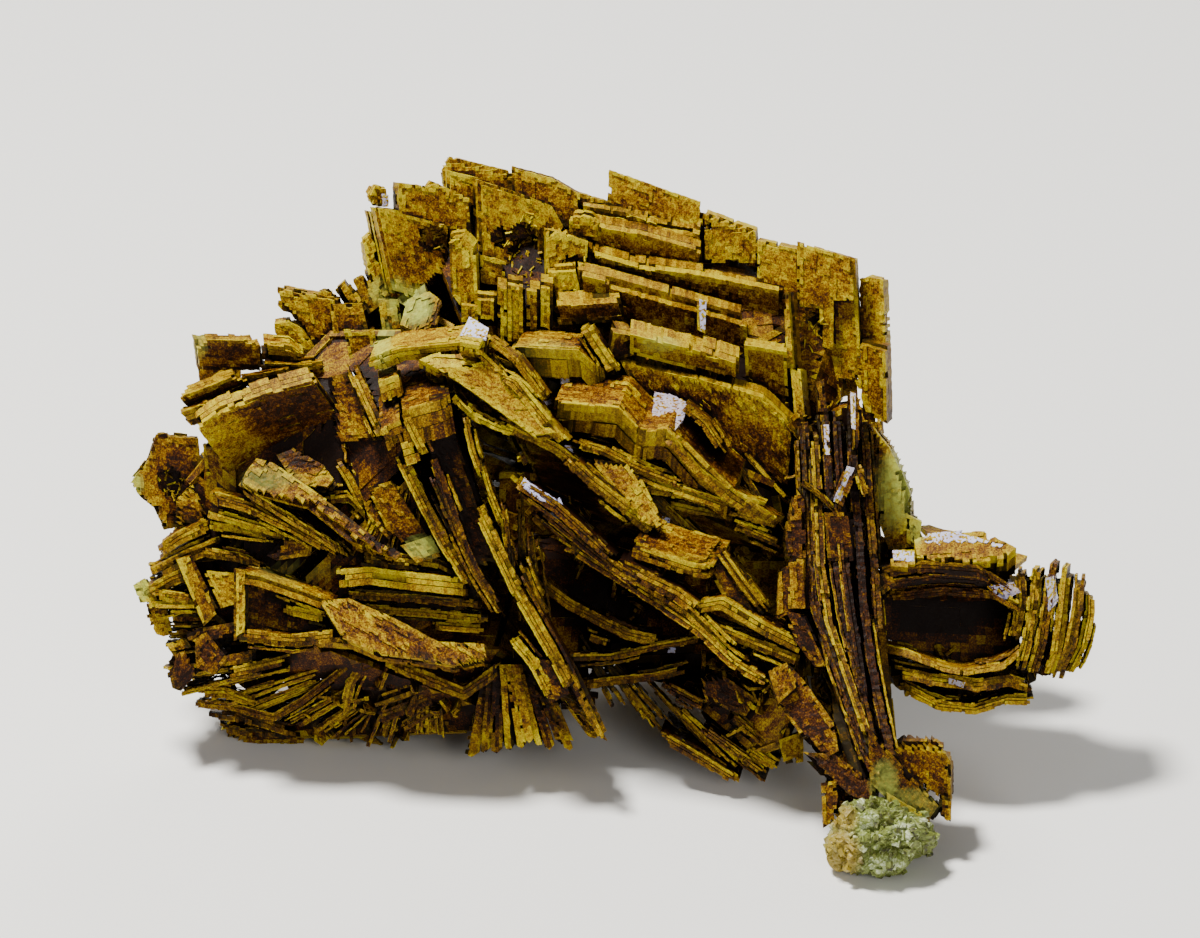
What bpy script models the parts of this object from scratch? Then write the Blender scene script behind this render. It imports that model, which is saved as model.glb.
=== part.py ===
"""Barite specimen: one intergrown cluster of tabular crystals that stands on its base and a small pale knob.

Metres, +X to the right, -Y towards the viewer, +Z up. The crystals are placed in picture points: x to the
right, y down and a depth towards the viewer, seen from above at the viewing angle below.
"""

import random
from collections import namedtuple
from math import cos, pi, radians, sin

import bmesh
import bpy
from mathutils import Vector

# Driving dimensions.
SPECIMEN_WIDTH = 0.120
VIEW_TILT = radians(28)
PIECE_GAP = 0.0003

# Picture points: the cluster's width, its middle, its lowest point, and the ground's height at that point.
PICTURE_WIDTH = 961
MIDDLE_X = 612
BASE_Y = 868
FLOOR = 68
UNIT = SPECIMEN_WIDTH / PICTURE_WIDTH

# A flat crystal: front outline (x, y), depth of its first point, depth gained per point to the right and
# upwards, and thickness.
Plate = namedtuple("Plate", "outline depth lean thick")
# A long crystal: its upper front edge (x, y, depth), the vector down its front and the vector to its back.
Slab = namedtuple("Slab", "ridge face back")

# Tabular crystals of the upper left stack, read off the picture from left to right.
UPPER_LEFT = (
    Plate([(373, 208), (402, 211), (402, 214), (452, 226), (448, 262), (437, 283), (410, 297), (392, 293)],
          10, (-0.35, 0.1), 20),
    Plate([(369, 206), (398, 209), (446, 222), (444, 260), (430, 284), (404, 292), (386, 288)],
          -10, (-0.35, 0.1), 20),
    Plate([(363, 240), (372, 232), (378, 262), (392, 300), (376, 292), (368, 275)], -24, (-0.2, 0.1), 22),
    Plate([(398, 183), (430, 186), (434, 181), (472, 198), (472, 236), (462, 262), (400, 262)],
          -12, (-0.3, 0.1), 22),
    Plate([(448, 238), (462, 236), (476, 250), (478, 304), (462, 308), (450, 292)], 22, (0.1, 0.2), 40),
    Plate([(449, 155), (512, 170), (512, 205), (446, 205), (441, 168)], -66, (-0.1, 0.1), 24),
    Plate([(446, 169), (479, 177), (479, 204), (447, 202)], -50, (-0.1, 0.1), 20),
    Plate([(479, 180), (552, 205), (565, 228), (545, 232), (543, 288), (505, 262), (481, 256)],
          -15, (-0.25, 0.12), 30),
    Plate([(480, 252), (506, 258), (504, 290), (481, 282)], -2, (-0.2, 0.15), 24),
    Plate([(511, 166), (552, 177), (580, 193), (578, 222), (566, 226), (545, 212), (512, 200)],
          -48, (0.0, 0.12), 24),
    Plate([(569, 213), (590, 217), (600, 226), (600, 240), (569, 238)], -22, (0.1, 0.3), 30),
    Plate([(546, 231), (588, 242), (586, 272), (546, 286)], -5, (-0.1, 0.2), 36),
    Plate([(546, 270), (575, 268), (580, 290), (552, 294), (545, 290)], 5, (0.0, 0.3), 36),
)
# Stepped rows of the upper right, each row further forward than the one above it.
STAIRCASE = (
    Plate([(609, 165), (703, 198), (703, 224), (660, 222), (607, 208)], -60, (0.05, 0.12), 24),
    Plate([(583, 205), (700, 230), (700, 246), (600, 230), (583, 224)], -42, (0.1, 0.6), 24),
    Plate([(702, 212), (756, 231), (760, 262), (702, 262)], -40, (0.1, 0.25), 24),
    Plate([(572, 222), (640, 234), (700, 251), (702, 268), (640, 264), (572, 242)], -26, (0.1, 0.65), 24),
    Plate([(758, 240), (856, 261), (863, 382), (842, 382), (842, 402), (802, 402), (797, 345), (758, 335)],
          -35, (0.12, 0.15), 26),
    Plate([(797, 242), (855, 259), (857, 300), (834, 300), (834, 352), (822, 350), (820, 308), (797, 306)],
          -21, (0.12, 0.15), 12),
    Plate([(858, 274), (884, 279), (887, 345), (858, 345)], -46, (0.25, 0.1), 26),
    Plate([(858, 340), (886, 348), (888, 424), (868, 414), (856, 380)], -28, (0.25, 0.2), 28),
    Plate([(588, 253), (632, 266), (786, 292), (786, 330), (750, 330), (700, 302), (588, 282)],
          -12, (0.05, 0.6), 26),
    Plate([(577, 275), (746, 320), (748, 356), (640, 332), (577, 298)], 14, (0.1, 0.65), 26),
    Plate([(697, 306), (705, 308), (705, 334), (697, 330)], 30, (0.0, 0.2), 24),
    Plate([(553, 301), (619, 297), (626, 322), (556, 326)], 32, (-0.1, 0.55), 32),
    Plate([(744, 345), (786, 352), (790, 430), (746, 380)], 18, (0.1, 0.5), 26),
    Plate([(630, 335), (738, 365), (738, 382), (630, 354)], 55, (0.05, 0.75), 30),
    Plate([(613, 333), (634, 337), (634, 356), (608, 364)], 50, (-0.3, 0.6), 28),
    Plate([(620, 362), (762, 398), (796, 430), (792, 492), (700, 455), (640, 400)], 40, (0.1, 0.35), 34),
    Plate([(783, 292), (791, 292), (796, 368), (787, 368)], 4, (0.2, 0.0), 34),
    Plate([(790, 366), (800, 370), (806, 430), (795, 425)], 8, (0.2, 0.0), 36),
)
# Upright prisms below the upper left stack: left, right, top, bottom and depth of each.
SMALL_PRISMS = (
    (462, 478, 306, 322, 30),
    (478, 497, 297, 322, 34),
    (498, 507, 288, 345, 40),
    (508, 523, 286, 345, 44),
    (527, 540, 291, 330, 36),
    (541, 553, 285, 330, 34),
)
PRISM_LEAN = (0.0, 0.3)
PRISM_THICK = 40
ROOF = (
    Slab([(505, 346, 70), (578, 350, 74), (604, 374, 60)], (4, 30, -12), (10, -18, -50)),
    Slab([(590, 326, 66), (620, 371, 58)], (-11, 5, 4), (4, -6, -50)),
)
# Crossing crystals in the middle, the upper bundle: a roof-shaped block with long laminae.
UPPER_DIAGONAL = (
    Slab([(368, 362, 95), (400, 349, 100), (460, 343, 108), (486, 347, 108)], (6, 14, -10), (6, -22, -50)),
    Plate([(472, 318), (490, 334), (484, 347), (458, 342)], 108, (0.0, -0.8), 40),
    Plate([(421, 360), (445, 352), (482, 352), (486, 364), (452, 372)], 106, (0.0, -0.6), 40),
    Plate([(440, 370), (486, 362), (505, 372), (545, 425), (562, 436), (540, 440)], 116, (0.0, -0.1), 50),
    Slab([(486, 334, 112), (518, 358, 112), (549, 400, 106)], (-5, 6, 0), (6, -4, -50)),
    Slab([(478, 347, 117), (520, 392, 112)], (-6, 6, 0), (4, -4, -50)),
    Slab([(500, 371, 120), (520, 380, 121), (577, 447, 112)], (-10, 6, 2), (6, -5, -60)),
    Slab([(455, 392, 118), (475, 412, 114), (525, 432, 108)], (-5, 7, 0), (4, -4, -60)),
    Slab([(500, 415, 112), (562, 446, 108), (662, 532, 92)], (-9, 9, 0), (8, -6, -75)),
    Slab([(570, 453, 116), (640, 512, 104)], (-9, 9, 0), (6, -5, -50)),
    Plate([(588, 456), (625, 462), (642, 480), (660, 515), (662, 530), (640, 520)], 90, (-0.1, -0.2), 40),
)
# Block left of the middle with the steep blades that hang from it.
STEEP_BLADES = (
    Slab([(402, 412, 128), (452, 398, 132)], (6, 38, -6), (-6, -30, -70)),
    Slab([(380, 432, 116), (402, 421, 120)], (8, 22, -4), (-4, -40, -60)),
    Slab([(378, 385, 100), (402, 376, 104)], (4, 20, -4), (-2, -14, -50)),
    Slab([(402, 414, 134), (424, 458, 126)], (9, -3, 0), (0, 0, -50)),
    Slab([(430, 458, 128), (462, 545, 114)], (9, -3, 0), (3, 0, -85)),
    Slab([(430, 478, 120), (470, 570, 106), (498, 615, 98)], (10, -4, 0), (3, 0, -85)),
    Slab([(474, 510, 118), (566, 690, 88)], (11, -6, 0), (4, -2, -85)),
    Slab([(463, 416, 124), (480, 478, 116)], (7, -2, 0), (0, -4, -70)),
    Slab([(478, 455, 112), (502, 525, 102)], (6, -2, 0), (0, -4, -70)),
    Slab([(505, 635, 94), (548, 700, 84)], (10, -6, 0), (3, 0, -80)),
    Plate([(560, 664), (568, 658), (607, 740), (598, 735)], 86, (0.0, 0.1), 50),
    Plate([(528, 655), (555, 655), (570, 692), (548, 703)], 86, (0.0, 0.1), 60),
    Slab([(395, 455, 104), (470, 592, 84)], (12, -5, 0), (0, 0, -70)),
    Slab([(500, 500, 102), (515, 600, 90)], (6, -1, 0), (0, -4, -80)),
    Slab([(518, 560, 82), (545, 620, 74)], (7, -2, 0), (0, -4, -80)),
    Plate([(420, 430), (458, 430), (500, 560), (470, 570)], 94, (0.0, 0.1), 70),
)
# The middle bundle, which ends to the right in ragged spikes.
MIDDLE_DIAGONAL = (
    Slab([(548, 402, 92), (618, 408, 98), (640, 431, 100), (668, 431, 100), (700, 468, 92), (737, 495, 84)],
         (-4, 30, -22), (14, -34, -60)),
    Slab([(686, 402, 86), (708, 420, 84), (728, 450, 80)], (-8, 7, 0), (4, -4, -50)),
    Slab([(676, 432, 98), (735, 490, 86), (780, 520, 74)], (-13, 11, 0), (6, -5, -50)),
    Slab([(732, 506, 82), (781, 521, 70)], (-5, 9, 0), (4, -4, -50)),
    Slab([(735, 520, 76), (784, 541, 64)], (-5, 9, 0), (0, -3, -50)),
    Slab([(570, 436, 88), (682, 480, 82)], (-4, 10, 0), (8, -6, -70)),
    Slab([(610, 455, 82), (735, 503, 76)], (-4, 10, 0), (4, -4, -60)),
    Slab([(640, 480, 76), (735, 505, 70)], (-3, 11, 0), (4, -4, -70)),
    Slab([(665, 500, 50), (775, 520, 44)], (0, 8, 0), (0, -8, -70)),
)
# The lower bundle, from the clean facets near the steep blades down to the column.
LOWER_DIAGONAL = (
    Slab([(628, 541, 106), (714, 566, 108)], (-3, 14, -4), (22, -30, -50)),
    Slab([(718, 542, 106), (770, 612, 96)], (-9, 5, 0), (3, -3, -60)),
    Plate([(700, 556), (722, 552), (762, 622), (728, 606)], 92, (0.0, 0.0), 50),
    Slab([(617, 558, 112), (662, 578, 112)], (-2, 12, -2), (10, -18, -40)),
    Slab([(520, 477, 112), (560, 503, 114), (616, 554, 114)], (-6, 9, 0), (6, -6, -70)),
    Slab([(545, 505, 104), (640, 580, 108)], (-7, 8, 0), (4, -6, -60)),
    Slab([(560, 533, 98), (700, 623, 110), (735, 656, 114), (769, 676, 116)], (-7, 9, 0), (6, -6, -80)),
    Slab([(600, 550, 110), (690, 604, 114), (735, 648, 114)], (-7, 10, 0), (4, -6, -60)),
    Slab([(638, 566, 114), (702, 603, 114)], (-9, 13, 0), (4, -8, -60)),
    Slab([(690, 600, 110), (722, 594, 110), (809, 642, 106)], (-4, 15, -2), (6, -8, -60)),
    Slab([(700, 614, 106), (800, 654, 102)], (-3, 12, 0), (4, -6, -60)),
    Slab([(512, 467, 92), (578, 530, 96)], (-6, 8, 0), (3, -4, -60)),
)
# Thin crystals deep inside the dark hollow below the bundles.
HOLLOW = (
    Slab([(535, 572, 20), (600, 614, 26), (662, 636, 30)], (-3, 11, -2), (4, -4, -80)),
    Slab([(560, 653, 20), (610, 652, 22), (700, 634, 26)], (0, 9, 0), (0, -4, -80)),
    Slab([(580, 680, 10), (690, 664, 16)], (0, 10, 0), (0, -6, -70)),
)
# The upright column of thin parallel blades that runs down to the pale knob.
COLUMN = (
    Slab([(797, 420, 70), (806, 600, 104), (868, 780, 148)], (10, -1, 0), (-3, 0, -80)),
    Slab([(808, 432, 76), (822, 620, 114), (862, 740, 145)], (9, 0, 0), (-3, 0, -80)),
    Slab([(818, 402, 70), (826, 540, 94), (868, 750, 143)], (9, 0, 0), (-4, 0, -80)),
    Slab([(830, 408, 74), (838, 560, 101), (858, 700, 135)], (9, 0, 0), (-4, 0, -80)),
    Slab([(844, 405, 70), (856, 610, 110), (884, 760, 147)], (10, 0, 0), (-4, 0, -80)),
    Slab([(858, 422, 66), (872, 640, 104)], (9, 0, 0), (-4, 0, -80)),
    Slab([(849, 392, 84), (850, 450, 90)], (7, 0, 0), (-4, 0, -50)),
    Slab([(846, 467, 98), (830, 507, 104)], (8, 5, 0), (-2, 0, -50)),
    Slab([(798, 476, 96), (832, 507, 104)], (3, 10, 0), (-2, 0, -50)),
    Plate([(822, 512), (852, 512), (858, 560), (826, 560)], 98, (0.0, 0.0), 50),
    Plate([(794, 488), (802, 500), (804, 560), (787, 562), (783, 538)], 94, (0.2, 0.0), 60),
    Plate([(786, 558), (804, 558), (806, 607), (786, 607)], 106, (0.2, 0.0), 60),
    Plate([(783, 610), (804, 613), (826, 664), (812, 664), (788, 632)], 110, (0.0, -0.1), 60),
    Plate([(776, 700), (770, 668), (784, 660), (830, 718), (836, 750), (822, 757), (800, 735)],
          124, (0.1, -0.1), 60),
    Plate([(766, 668), (784, 660), (796, 682), (776, 700)], 130, (0.0, -0.1), 60),
    Plate([(800, 748), (830, 750), (872, 778), (870, 801), (835, 784)], 130, (0.1, -0.1), 50),
    Plate([(818, 778), (836, 776), (832, 815), (820, 822)], 136, (0.0, -0.1), 40),
    Slab([(832, 655, 122), (874, 775, 152)], (10, -2, 0), (0, 0, -60)),
    Slab([(858, 636, 106), (872, 695, 120)], (8, 0, 0), (0, 0, -60)),
    Plate([(896, 742), (934, 742), (945, 757), (946, 798), (905, 778), (882, 752)], 140, (0.1, 0.2), 50),
    Plate([(864, 724), (938, 806), (930, 818), (885, 797), (866, 778)], 152, (0.0, 0.1), 50),
    Plate([(882, 788), (925, 813), (925, 828), (884, 812)], 156, (0.0, 0.1), 40),
    Plate([(872, 428), (888, 448), (908, 494), (915, 546), (888, 550), (870, 500)], 40, (0.1, 0.1), 60),
)
# The rosette at the right: a stack of plates above a hollow, with curved pages on its right side.
ROSETTE = (
    Plate([(912, 538), (950, 531), (982, 531), (1013, 547), (1000, 558), (950, 562), (914, 556)],
          68, (0.0, -0.9), 60),
    Plate([(888, 549), (912, 549), (912, 567), (888, 565)], 84, (0.0, -0.4), 70),
    Slab([(874, 566, 82), (920, 560, 86), (975, 564, 86), (1014, 588, 80)], (0, 12, -4), (4, -10, -80)),
    Slab([(876, 580, 78), (930, 573, 82), (985, 577, 82), (1020, 600, 76)], (0, 11, -6), (3, -8, -75)),
    Slab([(885, 592, 68), (940, 585, 74), (990, 589, 74), (1020, 606, 68)], (0, 10, -8), (2, -6, -66)),
    Slab([(1010, 566, 70), (1012, 600, 74), (1004, 640, 72)], (12, 0, 0), (6, -4, -70)),
    Slab([(1028, 562, 72), (1018, 640, 78), (1010, 672, 72)], (11, 0, 0), (8, -5, -70)),
    Slab([(1042, 563, 68), (1038, 600, 76), (1022, 676, 70)], (12, 1, 0), (9, -5, -68)),
    Slab([(1057, 567, 64), (1047, 650, 74), (1035, 684, 66)], (12, 1, 0), (8, -5, -64)),
    Slab([(1071, 574, 58), (1061, 645, 68), (1047, 680, 60)], (12, 1, 0), (4, -5, -58)),
    Slab([(1082, 584, 52), (1075, 645, 60), (1061, 674, 52)], (10, 2, 0), (0, -5, -52)),
    Slab([(874, 641, 70), (962, 666, 84), (1000, 660, 82), (1020, 643, 74)], (0, 9, 3), (0, -6, -74)),
    Slab([(890, 663, 70), (975, 677, 82), (1005, 672, 80), (1028, 680, 72)], (0, 14, 2), (0, -8, -74)),
    Slab([(900, 680, 68), (934, 698, 76), (972, 702, 78), (1004, 692, 76), (1037, 693, 66)],
         (0, 11, -2), (0, -14, -70)),
)
# Large plates of the left fan, seen partly from below, and the tips that radiate above it.
LEFT_FAN = (
    Slab([(197, 430, 62), (225, 411, 66), (328, 379, 72)], (36, 52, -60), (-6, -15, -14)),
    Slab([(194, 340, 20), (262, 341, 22)], (4, 36, -16), (-6, -12, -20)),
    Slab([(258, 344, 17), (290, 346, 18), (304, 356, 14)], (2, 18, -12), (-2, -12, -22)),
    Slab([(255, 362, 20), (325, 362, 20)], (2, 12, -6), (0, -7, -30)),
    Slab([(178, 399, 40), (246, 373, 44)], (14, 18, -14), (-4, -8, -24)),
    Slab([(240, 378, 36), (290, 369, 36)], (4, 12, -6), (-2, -5, -24)),
    Plate([(276, 288), (336, 299), (346, 350), (312, 352), (298, 326), (277, 301)], -12, (0.1, 0.2), 26),
    Plate([(274, 321), (285, 320), (300, 328), (318, 352), (290, 344), (275, 334)], 0, (0.0, 0.2), 30),
    Plate([(336, 288), (345, 280), (368, 306), (356, 318)], -22, (0.0, 0.1), 34),
    Plate([(352, 280), (362, 276), (380, 304), (368, 314)], -26, (0.0, 0.1), 34),
    Plate([(366, 281), (374, 278), (386, 306), (376, 312)], -30, (0.0, 0.1), 34),
    Plate([(330, 305), (362, 305), (370, 338), (334, 338)], 2, (0.0, 0.1), 34),
    Plate([(344, 330), (374, 330), (380, 358), (350, 360)], 14, (0.0, 0.1), 34),
    Plate([(378, 300), (398, 300), (406, 348), (385, 352)], -4, (0.0, 0.1), 40),
    Plate([(401, 325), (408, 300), (430, 292), (443, 302), (438, 324), (418, 333)], 42, (0.0, -0.3), 60),
    Slab([(345, 366, 62), (382, 446, 74)], (13, -4, 0), (0, 0, -80)),
    Plate([(328, 378), (352, 372), (384, 440), (336, 442)], 46, (0.0, 0.0), 50),
    Plate([(156, 435), (198, 435), (203, 520), (163, 530), (154, 509), (141, 499), (130, 483), (148, 460)],
          -10, (-0.1, 0.1), 22),
    Plate([(176, 500), (193, 485), (207, 512), (204, 528), (176, 524)], 6, (0.0, 0.1), 26),
    Plate([(203, 442), (213, 445), (246, 477), (252, 494), (208, 492)], 12, (0.1, 0.3), 40),
)
# Crossing plates in the middle of the left side.
LEFT_MIDDLE = (
    Plate([(240, 478), (255, 457), (276, 463), (380, 537), (405, 549), (398, 556), (350, 537), (310, 505),
           (262, 493)], 72, (0.0, -0.3), 36),
    Slab([(242, 482, 68), (345, 546, 62)], (4, 13, -4), (4, -4, -50)),
    Plate([(278, 455), (295, 448), (325, 465), (337, 481), (330, 490), (296, 482)], 52, (0.1, -0.2), 36),
    Slab([(333, 462, 50), (360, 512, 44)], (9, -4, 0), (0, 0, -50)),
    Slab([(326, 496, 54), (350, 493, 52), (370, 515, 46)], (0, 10, 0), (2, -4, -50)),
    Plate([(363, 498), (380, 503), (400, 532), (392, 542), (370, 518)], 46, (0.0, 0.0), 36),
    Plate([(368, 488), (398, 480), (442, 545), (420, 560), (392, 538)], 54, (0.1, 0.1), 40),
    Slab([(210, 490, 56), (290, 520, 62), (335, 545, 56)], (-2, 11, -2), (4, -6, -50)),
    Slab([(207, 506, 48), (285, 528, 54)], (-1, 12, -2), (4, -5, -50)),
    Slab([(208, 520, 42), (300, 532, 46)], (0, 10, 0), (2, -4, -50)),
    Plate([(268, 555), (288, 538), (314, 541), (312, 555), (278, 560)], 48, (0.0, 0.0), 40),
    Slab([(288, 533, 52), (340, 546, 46)], (0, 8, 0), (0, -4, -50)),
    Slab([(200, 546, 32), (266, 562, 34)], (0, 12, 0), (2, -4, -50)),
    Slab([(158, 546, 16), (208, 518, 24)], (4, 13, -2), (-3, -5, -36)),
    Slab([(148, 570, 12), (222, 536, 24)], (4, 13, -2), (-3, -5, -36)),
    Slab([(140, 590, 8), (196, 563, 18)], (4, 13, -3), (-3, -5, -36)),
    Plate([(133, 585), (145, 578), (158, 600), (140, 603)], 4, (0.0, 0.0), 24),
    Slab([(146, 600, 12), (205, 600, 20)], (0, 9, 0), (0, -4, -40)),
    Plate([(146, 604), (166, 604), (172, 634), (158, 638)], -4, (0.0, 0.0), 24),
    Plate([(178, 560), (193, 556), (220, 611), (205, 626)], 34, (-0.1, 0.1), 36),
    Plate([(204, 570), (238, 573), (240, 602), (222, 608)], 26, (0.0, 0.0), 36),
)
# The crystal grown like a frame, with the large curved blade and thinner ones to its right.
FRAME_CRYSTAL = (
    Plate([(236, 568), (250, 570), (250, 632), (236, 640)], 66, (0.0, 0.0), 50),
    Slab([(236, 568, 64), (345, 603, 66)], (0, 13, 0), (6, -8, -50)),
    Slab([(236, 627, 64), (295, 633, 68), (348, 627, 70)], (0, 14, 0), (0, -4, -50)),
    Plate([(246, 578), (345, 602), (345, 638), (246, 634)], 38, (0.0, 0.0), 40),
    Plate([(322, 600), (350, 597), (440, 640), (487, 642), (490, 655), (456, 663), (380, 652), (345, 636)],
          78, (0.0, -0.2), 44),
    Slab([(337, 570, 66), (370, 566, 70), (472, 578, 70)], (0, 19, -2), (4, -8, -50)),
    Slab([(362, 555, 60), (420, 559, 64)], (0, 12, 0), (2, -4, -50)),
    Slab([(380, 549, 56), (440, 559, 60), (470, 574, 60)], (-1, 9, 0), (2, -4, -50)),
    Plate([(402, 545), (432, 535), (443, 555), (420, 565)], 66, (0.0, 0.0), 50),
    Slab([(340, 590, 54), (484, 600, 52)], (0, 9, 0), (0, -4, -50)),
    Slab([(350, 603, 50), (488, 614, 48)], (0, 9, 0), (0, -4, -50)),
    Slab([(430, 620, 54), (490, 624, 50)], (0, 9, 0), (0, -4, -50)),
)
# Plates and pointed blades along the lower left edge, down to the ground.
LOWER_LEFT = (
    Plate([(187, 634), (200, 628), (240, 621), (240, 634), (215, 642), (190, 641)], 22, (0.0, 0.0), 40),
    Plate([(166, 644), (185, 638), (194, 650), (172, 655)], 0, (0.0, 0.0), 30),
    Plate([(196, 638), (210, 630), (230, 655), (215, 674), (197, 667)], 24, (0.0, 0.0), 50),
    Plate([(168, 665), (172, 655), (190, 649), (200, 670), (180, 691), (172, 688)], 0, (0.0, 0.0), 40),
    Plate([(214, 655), (256, 646), (256, 662), (222, 666)], 18, (0.0, 0.0), 50),
    Slab([(224, 668, 24), (290, 653, 24)], (2, 12, 0), (0, -4, -60)),
    Slab([(190, 688, -30), (225, 687, -24), (256, 698, -18)], (0, 12, 0), (0, -4, -50)),
    Slab([(193, 700, -40), (272, 714, -26), (350, 660, -4)], (0, 9, 0), (0, -3, -60)),
    Slab([(206, 710, -56), (296, 730, -44)], (0, 10, 0), (0, -3, -60)),
    Slab([(210, 723, -72), (300, 730, -66)], (0, 10, 0), (0, -3, -60)),
    Plate([(226, 732), (232, 716), (306, 716), (308, 748), (275, 752), (240, 750)], -82, (0.0, 0.2), 60),
    Plate([(322, 688), (334, 690), (333, 735), (320, 748), (309, 741), (313, 712)], -40, (0.0, 0.5), 60),
    Plate([(340, 690), (354, 686), (348, 738), (336, 746), (332, 735)], -44, (0.0, 0.5), 50),
    Slab([(362, 656, -2), (345, 682, -10), (338, 714, -26)], (10, 4, 0), (0, 0, -50)),
    Plate([(360, 660), (394, 656), (400, 692), (362, 690)], -14, (0.0, 0.0), 50),
    Slab([(368, 698, -16), (434, 674, -8)], (5, 12, 0), (0, -4, -60)),
    Slab([(372, 714, -26), (440, 688, -14)], (5, 12, 0), (0, -4, -60)),
    Plate([(418, 700), (448, 698), (448, 730), (438, 737), (416, 724)], -30, (0.0, 0.2), 50),
    Slab([(383, 653, 14), (464, 686, 28), (502, 660, 22)], (0, 14, 0), (0, -6, -60)),
)
# Blades of the small fan at the bottom: tips from left to right, the width of each and its depth.
FAN_HUB = ((488, 664), (542, 664))
FAN_TIPS = (
    (472, 757, 15, 8),
    (486, 752, 10, 14),
    (497, 753, 11, 20),
    (510, 750, 9, 26),
    (522, 748, 9, 30),
    (530, 742, 8, 34),
    (540, 746, 9, 30),
    (550, 749, 9, 26),
    (560, 742, 9, 22),
    (570, 750, 11, 18),
    (594, 738, 12, 40),
)
FAN_THICK = 44
# Plates that hang below the hollow between the fan and the column.
LOWER_MIDDLE = (
    Slab([(658, 728, 20), (742, 778, 28)], (-3, 10, -3), (10, -24, -60)),
    Slab([(698, 719, 30), (768, 769, 34)], (-3, 10, -3), (8, -18, -60)),
    Slab([(730, 709, 38), (772, 742, 40)], (-3, 10, 0), (6, -10, -60)),
    Plate([(698, 678), (722, 674), (756, 698), (745, 715), (706, 700)], 44, (0.0, 0.0), 60),
    Slab([(663, 678, 28), (706, 701, 32)], (-3, 10, 0), (4, -6, -60)),
    Plate([(778, 738), (802, 730), (802, 760), (783, 763)], 64, (0.0, 0.0), 60),
)
# The pale knob: its outline in the picture, clockwise from the left.
KNOB_OUTLINE = [
    (828, 822), (823, 845), (829, 860), (842, 866), (862, 868), (878, 870), (895, 865), (907, 854),
    (925, 845), (932, 833), (926, 818), (905, 806), (885, 797), (862, 792), (842, 798),
]

CRYSTAL_GROUPS = (
    UPPER_LEFT,
    STAIRCASE,
    ROOF,
    UPPER_DIAGONAL,
    STEEP_BLADES,
    MIDDLE_DIAGONAL,
    LOWER_DIAGONAL,
    HOLLOW,
    COLUMN,
    ROSETTE,
    LEFT_FAN,
    LEFT_MIDDLE,
    FRAME_CRYSTAL,
    LOWER_LEFT,
    LOWER_MIDDLE,
)

# Surfaces, and the distance within which two points are one.
BARITE_COLOUR = (0.33, 0.20, 0.03)
BARITE_ROUGHNESS = 0.6
MATRIX_COLOUR = (0.55, 0.58, 0.36)
MATRIX_ROUGHNESS = 0.75
WELD = 0.000001

# How far a crystal may be off its read place, in picture points.
UNEVENNESS = 0.6

# The knob's rounding: how far it reaches towards the viewer and away, and its depth.
KNOB_CENTRE = (877, 828, 148)
KNOB_REACH = 44
KNOB_RINGS = 5

# The grown-together middle of the cluster. Each mass is the hull of two lists: picture points (x, y, depth),
# and points given as distance right of the middle, back, and up from the ground.
CORE_MASSES = (
    ([(405, 215, -48), (470, 190, -92), (600, 222, -84), (700, 248, -72), (845, 292, -58), (845, 395, -52),
      (790, 460, 0), (640, 400, 15), (450, 330, 15), (395, 300, -18)],
     [(-150, 372, 425), (150, 372, 405), (170, 350, 250), (-170, 350, 250)]),
    ([(235, 420, 10), (330, 330, -5), (420, 330, 20), (470, 420, 62), (480, 600, 45), (400, 640, 32),
      (240, 640, 16), (188, 600, -6), (185, 480, -8)],
     [(-240, 290, 280), (-190, 335, 200), (-270, 240, 120), (-150, 335, 110)]),
    ([(205, 660, -30), (300, 640, 6), (500, 650, 12), (572, 688, -4), (540, 730, -20), (300, 722, -70),
      (228, 712, -76)],
     [(-372, 142, 0), (-292, 140, 0), (-300, 215, 0), (-350, 210, 0), (-300, 200, 80), (-60, 290, 62),
      (-240, 270, 150), (-80, 310, 150)]),
    ([(480, 350, 52), (600, 400, 46), (680, 440, 36), (775, 480, 26), (795, 560, 0), (520, 430, 42),
      (560, 470, -10), (700, 500, -20)],
     [(-100, 340, 220), (160, 340, 220), (-40, 310, 120), (180, 310, 120)]),
    ([(545, 560, -50), (700, 560, -50), (535, 660, -28), (700, 690, -22), (785, 650, 14), (795, 560, 0)],
     [(-100, 340, 200), (170, 340, 200), (-60, 290, 80), (180, 290, 80)]),
    ([(800, 430, 36), (872, 432, 10), (862, 398, -40), (804, 600, 62), (866, 600, 48), (832, 720, 98),
      (880, 740, 98),
      (892, 785, 112), (856, 790, 116)],
     [(200, 310, 290), (235, 320, 240), (190, 290, 120), (235, 290, 120)]),
    ([(680, 690, -2), (785, 745, 42), (756, 756, 34), (700, 640, -25), (800, 640, 44), (730, 700, -60),
      (805, 700, 64)],
     []),
    ([(866, 568, 8), (1062, 578, 4), (1062, 668, 4), (1000, 698, 4), (900, 690, 4), (866, 640, 8),
      (866, 590, -70), (1000, 600, -56), (1020, 640, -52), (866, 660, -60)],
     []),
)

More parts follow.
